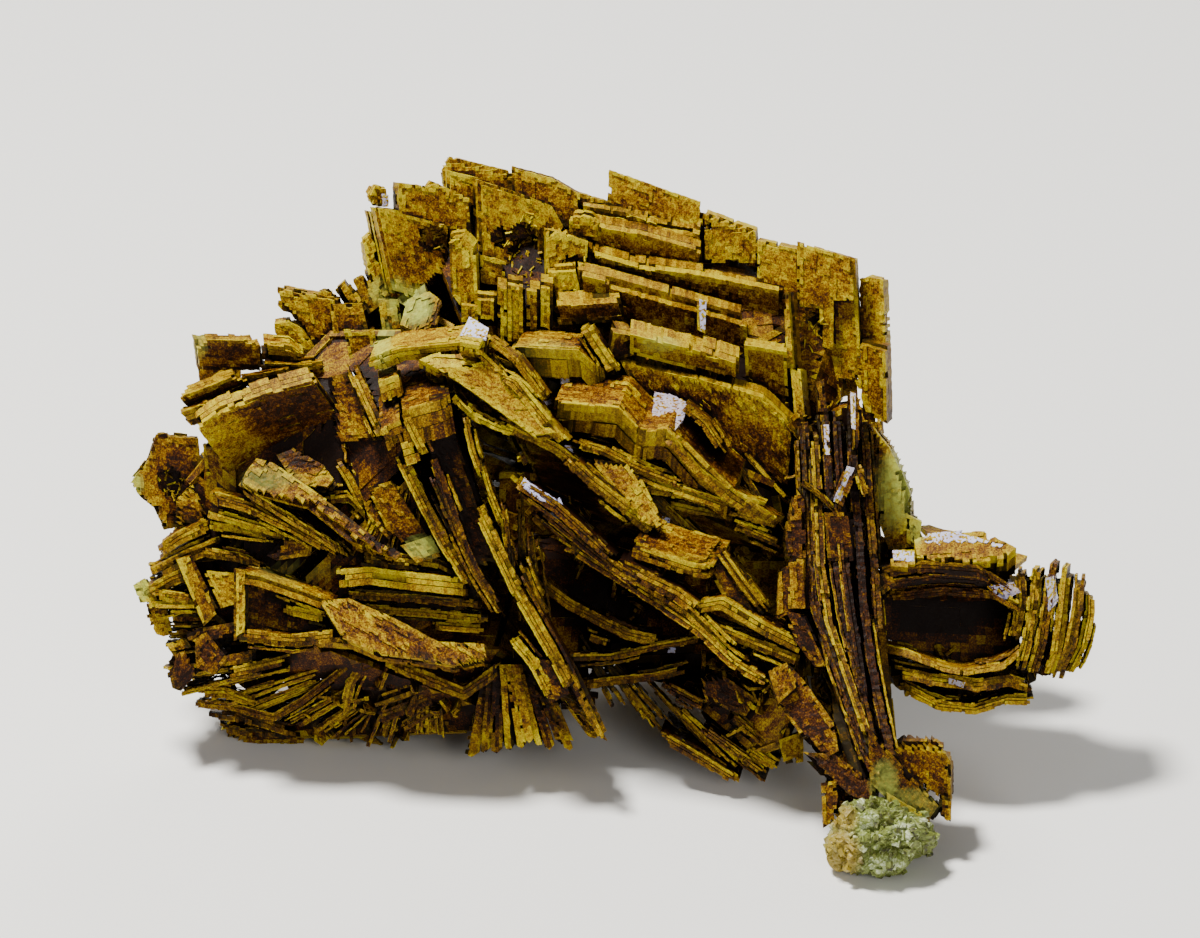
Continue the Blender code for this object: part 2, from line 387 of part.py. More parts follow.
# Bundles of plates on the back and the two bundles that are its feet. Each is the point it grows from and the
# direction it stands out in, both as right, back and up, then its width, its reach, its plates and its turn.
BACK_BUNDLES = (
    ((-130, 345, 395), (-0.3, 0.8, 0.5), 120, 62, 3, 0.3),
    ((-15, 350, 400), (0.1, 0.8, 0.55), 140, 60, 3, -0.2),
    ((105, 346, 380), (0.3, 0.85, 0.4), 130, 62, 3, 0.5),
    ((-150, 335, 305), (-0.5, 0.85, 0.1), 120, 70, 3, 1.2),
    ((-40, 345, 312), (-0.1, 1.0, 0.1), 130, 66, 3, -0.7),
    ((75, 340, 300), (0.2, 1.0, 0.0), 130, 70, 3, 0.2),
    ((180, 310, 325), (0.75, 0.6, 0.2), 110, 60, 3, 0.9),
    ((-215, 290, 225), (-0.8, 0.55, 0.15), 120, 66, 3, -0.5),
    ((-110, 325, 215), (-0.3, 0.95, -0.05), 130, 76, 3, 0.4),
    ((10, 325, 210), (0.05, 1.0, -0.15), 130, 80, 3, 1.4),
    ((120, 320, 212), (0.3, 0.95, 0.0), 120, 76, 3, -0.4),
    ((208, 290, 225), (0.85, 0.5, 0.0), 110, 52, 3, 0.6),
    ((-275, 225, 115), (-0.9, 0.4, -0.1), 110, 60, 3, 0.2),
    ((-45, 280, 105), (0.0, 0.9, -0.4), 130, 80, 3, 0.9),
    ((75, 275, 100), (0.1, 0.9, -0.45), 120, 76, 3, -0.3),
    ((-205, 305, 110), (-0.12, 0.2, -1.0), 104, 150, 4, 0.25),
    ((198, 300, 105), (0.1, 0.15, -1.0), 92, 150, 4, -0.2),
    ((345, 215, 170), (0.1, 0.9, -0.2), 120, 44, 3, 0.1),
)
BACK_PLATE_THICK = 18
BACK_PLATE_STEP = 25
BURIED = 0.45


def place(x, y, depth):
    """A picture point as a point of the specimen, in picture units and not yet centred."""
    right = x - MIDDLE_X
    up = BASE_Y - y
    back = up * sin(VIEW_TILT) - depth * cos(VIEW_TILT)
    height = up * cos(VIEW_TILT) + depth * sin(VIEW_TILT) - FLOOR
    return Vector((right, back, height))


def add_prism(body, front, back):
    """A closed solid between two outlines with the same number of points."""
    count = len(front)
    fronts = [body.verts.new(point) for point in front]
    backs = [body.verts.new(point) for point in back]
    faces = [body.faces.new(fronts), body.faces.new(backs[::-1])]
    for i in range(count):
        j = (i + 1) % count
        faces.append(body.faces.new((fronts[j], fronts[i], backs[i], backs[j])))
    bmesh.ops.recalc_face_normals(body, faces=faces)


def add_plate(body, plate):
    """A flat crystal whose front follows its outline on a leaning plane."""
    first_x, first_y = plate.outline[0]
    lean_right, lean_up = plate.lean
    length = (lean_right**2 + lean_up**2 + 1) ** 0.5
    sink = plate.thick / length
    front = []
    back = []
    for x, y in plate.outline:
        depth = plate.depth + lean_right * (x - first_x) + lean_up * (first_y - y)
        front.append(place(x, y, depth))
        back.append(place(x + lean_right * sink, y - lean_up * sink, depth - sink))
    add_prism(body, front, back)


def add_slab(body, slab):
    """A long crystal: one four-sided section carried along its upper edge."""
    face = Vector(slab.face)
    back = Vector(slab.back)
    rings = []
    for point in slab.ridge:
        corner = Vector(point)
        section = (corner, corner + face, corner + face + back, corner + back)
        rings.append([body.verts.new(place(*spot)) for spot in section])
    faces = [body.faces.new(rings[0]), body.faces.new(rings[-1][::-1])]
    for here, there in zip(rings, rings[1:]):
        for i in range(4):
            j = (i + 1) % 4
            faces.append(body.faces.new((here[j], here[i], there[i], there[j])))
    bmesh.ops.recalc_face_normals(body, faces=faces)


def add_crystals(body, crystals, chance):
    """Each crystal a hair off its read place, so that no two share an edge."""
    for crystal in crystals:
        right, down, near = (chance.uniform(-UNEVENNESS, UNEVENNESS) for _ in range(3))
        if isinstance(crystal, Plate):
            outline = [(x + right, y + down) for x, y in crystal.outline]
            add_plate(body, crystal._replace(outline=outline, depth=crystal.depth + near))
        else:
            ridge = [(x + right, y + down, depth + near) for x, y, depth in crystal.ridge]
            add_slab(body, crystal._replace(ridge=ridge))


def small_prisms():
    prisms = []
    for left, right, top, bottom, depth in SMALL_PRISMS:
        outline = [(left, top), (right, top + 2), (right, bottom), (left, bottom)]
        prisms.append(Plate(outline, depth, PRISM_LEAN, PRISM_THICK))
    return prisms


def bottom_fan():
    """Blades from one hub to tips spread along the bottom edge."""
    blades = []
    (left_x, left_y), (right_x, right_y) = FAN_HUB
    for i, (x, y, width, depth) in enumerate(FAN_TIPS):
        share = i / (len(FAN_TIPS) - 1)
        hub_x = left_x + share * (right_x - left_x)
        hub_y = left_y + share * (right_y - left_y)
        outline = [
            (hub_x - width / 2, hub_y),
            (hub_x + width / 2, hub_y),
            (x + width / 2, y - 5),
            (x, y),
            (x - width / 2, y - 3),
        ]
        blades.append(Plate(outline, depth, (0.0, 0.0), FAN_THICK))
    return blades


def add_back_bundle(body, root, outward, across, width, reach, plates, chance):
    """Parallel plates of unequal size that stand out from one point."""
    normal = outward.cross(across)
    for i in range(plates):
        shift = (i - (plates - 1) / 2) * BACK_PLATE_STEP
        length = reach * chance.uniform(0.82, 1.0)
        half = width / 2 * chance.uniform(0.8, 1.1)
        slide = chance.uniform(-10, 10)
        outline = (
            (-BURIED, -0.7),
            (0.55, -1.0),
            (1.0, chance.uniform(-0.6, 0.4)),
            (0.7, 1.0),
            (-BURIED, 0.8),
        )
        front = []
        back = []
        for along, aside in outline:
            point = root + outward * (along * length) + across * (aside * half + slide)
            front.append(point + normal * (shift + BACK_PLATE_THICK / 2))
            back.append(point + normal * (shift - BACK_PLATE_THICK / 2))
        add_prism(body, front, back)


def add_back(body):
    chance = random.Random(11)
    for root, direction, width, reach, plates, turn in BACK_BUNDLES:
        outward = Vector(direction).normalized()
        sideways = outward.cross(Vector((0.05, 0.1, 1))).normalized()
        upright = outward.cross(sideways).normalized()
        across = sideways * cos(turn) + upright * sin(turn)
        add_back_bundle(body, Vector(root), outward, across, width, reach, plates, chance)


def add_core(body):
    for near, behind in CORE_MASSES:
        points = [place(*spot) for spot in near] + [Vector(spot) for spot in behind]
        mass = bmesh.new()
        for point in points:
            mass.verts.new(point)
        bmesh.ops.convex_hull(mass, input=mass.verts)
        loose = [vertex for vertex in mass.verts if not vertex.link_faces]
        bmesh.ops.delete(mass, geom=loose, context="VERTS")
        bmesh.ops.recalc_face_normals(mass, faces=mass.faces)
        corners = {vertex: body.verts.new(vertex.co) for vertex in mass.verts}
        for face in mass.faces:
            body.faces.new([corners[vertex] for vertex in face.verts])
        mass.free()


def knob_body(grow):
    """The pale knob as a rounded lump: its outline in the middle, shrinking towards front and back."""
    body = bmesh.new()
    centre_x, centre_y, centre_depth = KNOB_CENTRE
    rings = []
    for i in range(1, 2 * KNOB_RINGS):
        angle = pi * i / (2 * KNOB_RINGS)
        size = sin(angle) ** 0.8
        ring = []
        for x, y in KNOB_OUTLINE:
            out = Vector((x - centre_x, y - centre_y))
            out *= size * (1 + grow / out.length)
            depth = centre_depth + (KNOB_REACH + grow) * cos(angle)
            ring.append(body.verts.new(place(centre_x + out.x, centre_y + out.y, depth)))
        rings.append(ring)
    count = len(KNOB_OUTLINE)
    faces = [body.faces.new(rings[0]), body.faces.new(rings[-1][::-1])]
    for here, there in zip(rings, rings[1:]):
        for i in range(count):
            j = (i + 1) % count
            faces.append(body.faces.new((here[j], here[i], there[i], there[j])))
    bmesh.ops.triangulate(body, faces=faces)
    bmesh.ops.recalc_face_normals(body, faces=body.faces)
    return body


def new_object(name, body, scale):
    bmesh.ops.scale(body, vec=(scale, scale, scale), verts=body.verts)
    mesh = bpy.data.meshes.new(name)
    body.to_mesh(mesh)
    body.free()
    thing = bpy.data.objects.new(name, mesh)
    bpy.context.scene.collection.objects.link(thing)
    return thing


def hide_tool(thing):
    thing.hide_render = True
    thing.display_type = "WIRE"


def cut_block(name, low, high):
    body = bmesh.new()
    bmesh.ops.create_cube(body, size=1)
    for vertex in body.verts:
        for axis in range(3):
            vertex.co[axis] = high[axis] if vertex.co[axis] > 0 else low[axis]
    block = new_object(name, body, UNIT)
    hide_tool(block)
    return block


def apply_boolean(thing, operation, other, overlapping):
    step = thing.modifiers.new(operation, "BOOLEAN")
    step.operation = operation
    step.solver = "EXACT"
    step.use_self = overlapping
    step.object = other
    bpy.context.view_layer.update()
    finished = bpy.data.meshes.new_from_object(thing.evaluated_get(bpy.context.evaluated_depsgraph_get()))
    thing.modifiers.clear()
    old = thing.data
    thing.data = finished
    bpy.data.meshes.remove(old)


def clean(thing):
    """Welds points that coincide and keeps the one grown body, without loose specks."""
    body = bmesh.new()
    body.from_mesh(thing.data)
    bmesh.ops.remove_doubles(body, verts=body.verts, dist=WELD)
    bmesh.ops.dissolve_degenerate(body, edges=body.edges, dist=WELD)
    bmesh.ops.triangulate(body, faces=body.faces)
    largest = biggest_island(body)
    bmesh.ops.delete(body, geom=[vertex for vertex in body.verts if vertex not in largest], context="VERTS")
    body.to_mesh(thing.data)
    body.free()


def biggest_island(body):
    islands = []
    seen = set()
    for start in body.verts:
        if start in seen:
            continue
        island = {start}
        stack = [start]
        while stack:
            for edge in stack.pop().link_edges:
                for vertex in edge.verts:
                    if vertex not in island:
                        island.add(vertex)
                        stack.append(vertex)
        seen |= island
        islands.append(island)
    return max(islands, key=len)


def paint(thing, name, colour, roughness):
    material = bpy.data.materials.new(name)
    material.use_nodes = True
    shader = material.node_tree.nodes["Principled BSDF"]
    shader.inputs["Base Color"].default_value = (*colour, 1)
    shader.inputs["Roughness"].default_value = roughness
    thing.data.materials.clear()
    thing.data.materials.append(material)


def barite_crystals():
    crystals = bmesh.new()
    chance = random.Random(7)
    for group in (*CRYSTAL_GROUPS, small_prisms(), bottom_fan()):
        add_crystals(crystals, group, chance)
    add_back(crystals)
    thing = new_object("barite_crystals", crystals, UNIT)
    core = bmesh.new()
    add_core(core)
    core_tool = new_object("core_tool", core, UNIT)
    hide_tool(core_tool)
    apply_boolean(thing, "UNION", core_tool, True)
    ground = cut_block("ground_tool", (-900, -900, -400), (900, 900, 0))
    apply_boolean(thing, "DIFFERENCE", ground, False)
    socket = new_object("knob_tool", knob_body(PIECE_GAP / UNIT), UNIT)
    hide_tool(socket)
    apply_boolean(thing, "DIFFERENCE", socket, False)
    clean(thing)
    for tool in (core_tool, ground, socket):
        bpy.data.objects.remove(tool)
    paint(thing, "barite", BARITE_COLOUR, BARITE_ROUGHNESS)
    return thing


def matrix_knob():
    thing = new_object("matrix_knob", knob_body(0), UNIT)
    ground = cut_block("ground_tool", (-900, -900, -400), (900, 900, 0))
    apply_boolean(thing, "DIFFERENCE", ground, False)
    bpy.data.objects.remove(ground)
    paint(thing, "pale_matrix", MATRIX_COLOUR, MATRIX_ROUGHNESS)
    return thing


def centre_on_ground(things):
    """Moves everything so that the middle of the bounding box's bottom is the origin."""
    corners = [vertex.co for thing in things for vertex in thing.data.vertices]
    low = [min(corner[axis] for corner in corners) for axis in range(3)]
    high = [max(corner[axis] for corner in corners) for axis in range(3)]
    shift = Vector((-(low[0] + high[0]) / 2, -(low[1] + high[1]) / 2, 0))
    for thing in things:
        for vertex in thing.data.vertices:
            vertex.co += shift


def main():
    for thing in list(bpy.data.objects):
        bpy.data.objects.remove(thing)
    centre_on_ground([barite_crystals(), matrix_knob()])


main()
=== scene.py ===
"""Barite specimen: the cluster and its pale knob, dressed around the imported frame.

Every crystal is a stack of thin layers with stepped, ragged edges, grown on the places that were read off the
picture. Lengths in the tables are picture points; UNIT turns them into metres.
"""

from collections import namedtuple
from math import cos, pi, radians, sin

import bmesh
import bpy
import numpy as np
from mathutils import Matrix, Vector, noise
from mathutils.bvhtree import BVHTree


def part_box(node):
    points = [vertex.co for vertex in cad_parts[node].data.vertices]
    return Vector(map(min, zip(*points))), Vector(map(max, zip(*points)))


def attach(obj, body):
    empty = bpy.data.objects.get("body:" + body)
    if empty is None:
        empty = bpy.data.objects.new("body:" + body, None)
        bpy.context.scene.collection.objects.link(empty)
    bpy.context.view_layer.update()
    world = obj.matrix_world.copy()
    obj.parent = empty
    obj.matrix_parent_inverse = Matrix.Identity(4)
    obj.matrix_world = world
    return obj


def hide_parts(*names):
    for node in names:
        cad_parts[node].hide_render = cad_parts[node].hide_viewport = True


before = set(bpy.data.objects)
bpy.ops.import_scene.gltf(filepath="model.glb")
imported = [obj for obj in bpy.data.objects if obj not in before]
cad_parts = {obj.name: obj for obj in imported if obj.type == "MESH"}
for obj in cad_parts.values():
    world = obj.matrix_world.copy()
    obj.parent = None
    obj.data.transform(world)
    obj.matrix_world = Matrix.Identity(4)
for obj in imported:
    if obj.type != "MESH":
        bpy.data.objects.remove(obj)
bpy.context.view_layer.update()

# Driving dimensions.
SPECIMEN_WIDTH = 0.120
VIEW_TILT = radians(28)

# Picture points: the cluster's width, the picture's size, the cluster's middle, its lowest point and the
# height of the ground at that point.
PICTURE_WIDTH = 961
PICTURE_SIZE = (1200, 938)
MIDDLE_X = 612
BASE_Y = 868
FLOOR = 68
UNIT = SPECIMEN_WIDTH / PICTURE_WIDTH

# A flat crystal: front outline (x, y), depth of its first point, depth gained per point to the right and
# upwards, and thickness.
Plate = namedtuple("Plate", "outline depth lean thick")
# A long crystal: its upper front edge (x, y, depth), the vector down its front face and the vector to its
# back.
Slab = namedtuple("Slab", "ridge face back")

# Tabular crystals of the upper left stack, read off the picture from left to right.
UPPER_LEFT = (
    Plate([(373, 208), (402, 211), (402, 214), (452, 226), (448, 262), (437, 283), (410, 297), (392, 293)],
          10, (-0.35, 0.1), 20),
    Plate([(369, 206), (398, 209), (446, 222), (444, 260), (430, 284), (404, 292), (386, 288)],
          -10, (-0.35, 0.1), 20),
    Plate([(363, 240), (372, 232), (378, 262), (392, 300), (376, 292), (368, 275)], -24, (-0.2, 0.1), 22),
    Plate([(398, 183), (430, 186), (434, 181), (472, 198), (472, 236), (462, 262), (400, 262)],
          -12, (-0.3, 0.1), 22),
    Plate([(375, 185), (386, 187), (388, 206), (374, 206), (369, 197)], -22, (-0.3, 0.2), 20),
    Plate([(448, 238), (462, 236), (476, 250), (478, 304), (462, 308), (450, 292)], 22, (0.1, 0.2), 40),
    Plate([(449, 155), (512, 170), (512, 205), (446, 205), (441, 168)], -66, (-0.1, 0.1), 24),
    Plate([(446, 169), (479, 177), (479, 204), (447, 202)], -50, (-0.1, 0.1), 20),
    Plate([(479, 180), (530, 196), (552, 205), (565, 228), (545, 232), (543, 288), (505, 262), (481, 256)],
          -15, (-0.25, 0.12), 30),
    Plate([(480, 252), (506, 258), (504, 290), (481, 282)], -2, (-0.2, 0.15), 24),
    Plate([(511, 166), (552, 177), (580, 193), (578, 222), (566, 226), (545, 212), (512, 200)],
          -48, (0.0, 0.12), 24),
    Plate([(569, 213), (590, 217), (600, 226), (600, 240), (569, 238)], -22, (0.1, 0.3), 30),
    Plate([(546, 231), (566, 234), (588, 242), (586, 272), (546, 286)], -5, (-0.1, 0.2), 36),
    Plate([(546, 270), (575, 268), (580, 290), (552, 294), (545, 290)], 5, (0.0, 0.3), 36),
)
# Stepped rows of the upper right, each row further forward than the one above it.
STAIRCASE = (
    Plate([(609, 165), (703, 198), (703, 224), (660, 222), (607, 208)], -60, (0.05, 0.12), 24),
    Plate([(583, 205), (625, 212), (660, 224), (700, 230), (700, 246), (600, 230), (583, 224)],
          -42, (0.1, 0.6), 24),
    Plate([(702, 212), (756, 231), (760, 262), (702, 262)], -40, (0.1, 0.25), 24),
    Plate([(572, 222), (640, 234), (700, 251), (702, 268), (640, 264), (572, 242)], -26, (0.1, 0.65), 24),
    Plate([(758, 240), (856, 261), (863, 382), (842, 382), (842, 402), (802, 402), (797, 345), (758, 335)],
          -35, (0.12, 0.15), 26),
    Plate([(797, 242), (855, 259), (857, 300), (834, 300), (834, 352), (822, 350), (820, 308), (797, 306)],
          -21, (0.12, 0.15), 12),
    Plate([(858, 274), (884, 279), (887, 345), (858, 345)], -46, (0.25, 0.1), 26),
    Plate([(858, 340), (886, 348), (888, 424), (868, 414), (856, 380)], -28, (0.25, 0.2), 28),
    Plate([(588, 253), (632, 266), (700, 275), (786, 292), (786, 330), (750, 330), (700, 302), (588, 282)],
          -12, (0.05, 0.6), 26),
    Plate([(577, 275), (612, 283), (746, 320), (748, 356), (640, 332), (577, 298)], 14, (0.1, 0.65), 26),
    Plate([(697, 306), (705, 308), (705, 334), (697, 330)], 30, (0.0, 0.2), 24),
    Plate([(553, 301), (619, 297), (626, 322), (556, 326)], 32, (-0.1, 0.55), 32),
    Plate([(744, 345), (786, 352), (790, 430), (765, 402), (746, 380)], 18, (0.1, 0.5), 26),
    Plate([(630, 335), (700, 352), (738, 365), (738, 382), (700, 372), (630, 354)], 55, (0.05, 0.75), 30),
    Plate([(613, 333), (634, 337), (634, 356), (608, 364)], 50, (-0.3, 0.6), 28),
    Plate([(620, 362), (660, 372), (700, 380), (762, 398), (796, 430), (792, 492), (770, 482), (700, 455),
           (640, 400)], 40, (0.1, 0.35), 34),
    Plate([(783, 292), (791, 292), (796, 368), (787, 368)], 4, (0.2, 0.0), 34),
    Plate([(790, 366), (800, 370), (806, 430), (795, 425)], 8, (0.2, 0.0), 36),
)
# Upright prisms below the upper left stack: left, right, top, bottom and depth of each.
SMALL_PRISMS = (
    (462, 478, 306, 322, 30),
    (478, 497, 297, 322, 34),
    (498, 507, 288, 345, 40),
    (508, 523, 286, 345, 44),
    (527, 540, 291, 330, 36),
    (541, 553, 285, 330, 34),
)
PRISM_LEAN = (0.0, 0.3)
PRISM_THICK = 40
ROOF = (
    Slab([(505, 346, 70), (578, 350, 74), (604, 374, 60)], (4, 30, -12), (10, -18, -50)),
    Slab([(590, 326, 66), (620, 371, 58)], (-11, 5, 4), (4, -6, -50)),
)
# Crossing crystals in the middle, the upper bundle: a roof-shaped block with long laminae.
UPPER_DIAGONAL = (
    Slab([(368, 362, 95), (400, 349, 100), (460, 343, 108), (486, 347, 108)], (6, 14, -10), (6, -22, -50)),
    Plate([(472, 318), (490, 334), (484, 347), (458, 342)], 108, (0.0, -0.8), 40),
    Plate([(421, 360), (445, 352), (482, 352), (486, 364), (452, 372), (440, 370)], 106, (0.0, -0.6), 40),
    Plate([(440, 370), (466, 368), (486, 362), (505, 372), (545, 425), (562, 436), (540, 440), (505, 415),
           (470, 390)], 116, (0.0, -0.1), 50),
    Slab([(486, 334, 112), (518, 358, 112), (549, 400, 106)], (-5, 6, 0), (6, -4, -50)),
    Slab([(478, 347, 117), (500, 368, 116), (520, 392, 112)], (-6, 6, 0), (4, -4, -50)),
    Slab([(500, 371, 120), (520, 380, 121), (562, 432, 116), (577, 447, 112)], (-10, 6, 2), (6, -5, -60)),
    Slab([(455, 392, 118), (475, 412, 114), (500, 425, 112), (525, 432, 108)], (-5, 7, 0), (4, -4, -60)),
    Slab([(500, 415, 112), (562, 446, 108), (600, 480, 100), (662, 532, 92)], (-9, 9, 0), (8, -6, -75)),
    Slab([(570, 453, 116), (594, 476, 112), (640, 512, 104)], (-9, 9, 0), (6, -5, -50)),
    Plate([(588, 456), (625, 462), (642, 480), (660, 515), (662, 530), (640, 520), (615, 490)],
          90, (-0.1, -0.2), 40),
)
# Block left of the middle with the steep blades that hang from it.
STEEP_BLADES = (
    Slab([(402, 412, 128), (452, 398, 132)], (6, 38, -6), (-6, -30, -70)),
    Slab([(380, 432, 116), (402, 421, 120)], (8, 22, -4), (-4, -40, -60)),
    Slab([(400, 446, 122), (417, 440, 124)], (6, 22, -3), (0, -10, -50)),
    Slab([(378, 385, 100), (402, 376, 104)], (4, 20, -4), (-2, -14, -50)),
    Slab([(402, 414, 134), (424, 458, 126)], (9, -3, 0), (0, 0, -50)),
    Slab([(430, 458, 128), (445, 500, 122), (462, 545, 114)], (9, -3, 0), (3, 0, -85)),
    Slab([(430, 478, 120), (448, 520, 114), (470, 570, 106), (498, 615, 98)], (10, -4, 0), (3, 0, -85)),
    Slab([(474, 510, 118), (497, 560, 112), (512, 592, 106), (545, 650, 96), (566, 690, 88)],
         (11, -6, 0), (4, -2, -85)),
    Slab([(463, 416, 124), (470, 450, 120), (480, 478, 116)], (7, -2, 0), (0, -4, -70)),
    Slab([(478, 455, 112), (488, 490, 108), (502, 525, 102)], (6, -2, 0), (0, -4, -70)),
    Slab([(505, 635, 94), (530, 665, 90), (548, 700, 84)], (10, -6, 0), (3, 0, -80)),
    Plate([(560, 664), (568, 658), (607, 740), (598, 735)], 86, (0.0, 0.1), 50),
    Plate([(528, 655), (555, 655), (570, 692), (548, 703), (538, 680)], 86, (0.0, 0.1), 60),
    Slab([(395, 455, 104), (412, 490, 100), (440, 545, 92), (470, 592, 84)], (12, -5, 0), (0, 0, -70)),
    Slab([(500, 500, 102), (505, 530, 98), (515, 600, 90)], (6, -1, 0), (0, -4, -80)),
    Slab([(518, 560, 82), (530, 590, 78), (545, 620, 74)], (7, -2, 0), (0, -4, -80)),
    Plate([(420, 430), (458, 430), (480, 500), (500, 560), (470, 570), (445, 500)], 94, (0.0, 0.1), 70),
)
# The middle bundle, which ends to the right in ragged spikes.
MIDDLE_DIAGONAL = (
    Slab([(548, 402, 92), (618, 408, 98), (640, 431, 100), (668, 431, 100), (700, 468, 92), (737, 495, 84)],
         (-4, 30, -22), (14, -34, -60)),
    Slab([(686, 402, 86), (708, 420, 84), (728, 450, 80)], (-8, 7, 0), (4, -4, -50)),
    Slab([(676, 432, 98), (705, 462, 94), (735, 490, 86), (780, 520, 74)], (-13, 11, 0), (6, -5, -50)),
    Slab([(728, 488, 84), (764, 503, 76)], (-4, 8, 0), (4, -4, -50)),
    Slab([(732, 506, 82), (781, 521, 70)], (-5, 9, 0), (4, -4, -50)),
    Slab([(735, 520, 76), (784, 541, 64)], (-5, 9, 0), (0, -3, -50)),
    Slab([(570, 436, 88), (605, 446, 88), (640, 464, 86), (682, 480, 82)], (-4, 10, 0), (8, -6, -70)),
    Slab([(610, 455, 82), (660, 478, 80), (735, 503, 76)], (-4, 10, 0), (4, -4, -60)),
    Slab([(640, 480, 76), (700, 492, 74), (735, 505, 70)], (-3, 11, 0), (4, -4, -70)),
    Slab([(665, 500, 50), (720, 512, 46), (775, 520, 44)], (0, 8, 0), (0, -8, -70)),
)
# The lower bundle, from the clean facets near the steep blades down to the column.
LOWER_DIAGONAL = (
    Slab([(628, 541, 106), (660, 552, 110), (690, 562, 110), (714, 566, 108)], (-3, 14, -4), (22, -30, -50)),
    Slab([(718, 542, 106), (745, 580, 102), (770, 612, 96)], (-9, 5, 0), (3, -3, -60)),
    Plate([(700, 556), (722, 552), (745, 590), (762, 622), (728, 606)], 92, (0.0, 0.0), 50),
    Slab([(617, 558, 112), (662, 578, 112)], (-2, 12, -2), (10, -18, -40)),
    Slab([(520, 477, 112), (560, 503, 114), (616, 554, 114)], (-6, 9, 0), (6, -6, -70)),
    Slab([(545, 505, 104), (562, 519, 104), (600, 550, 106), (640, 580, 108)], (-7, 8, 0), (4, -6, -60)),
    Slab([(560, 533, 98), (600, 558, 100), (640, 583, 104), (700, 623, 110), (735, 656, 114),
          (769, 676, 116)], (-7, 9, 0), (6, -6, -80)),
    Slab([(600, 550, 110), (650, 580, 112), (690, 604, 114), (735, 648, 114)], (-7, 10, 0), (4, -6, -60)),
    Slab([(638, 566, 114), (680, 586, 114), (702, 603, 114)], (-9, 13, 0), (4, -8, -60)),
    Slab([(690, 600, 110), (722, 594, 110), (765, 620, 108), (809, 642, 106)], (-4, 15, -2), (6, -8, -60)),
    Slab([(700, 614, 106), (750, 634, 104), (800, 654, 102)], (-3, 12, 0), (4, -6, -60)),
    Slab([(512, 467, 92), (545, 498, 94), (578, 530, 96)], (-6, 8, 0), (3, -4, -60)),
)
# Thin crystals deep inside the dark hollow below the bundles.
HOLLOW = (
    Slab([(535, 572, 20), (570, 598, 24), (600, 614, 26), (628, 628, 28), (662, 636, 30)],
         (-3, 11, -2), (4, -4, -80)),
    Slab([(560, 653, 20), (610, 652, 22), (660, 641, 24), (700, 634, 26)], (0, 9, 0), (0, -4, -80)),
    Slab([(580, 680, 10), (655, 672, 14), (690, 664, 16)], (0, 10, 0), (0, -6, -70)),
    Slab([(585, 630, 24), (614, 640, 26)], (-2, 9, 0), (0, -4, -70)),
)
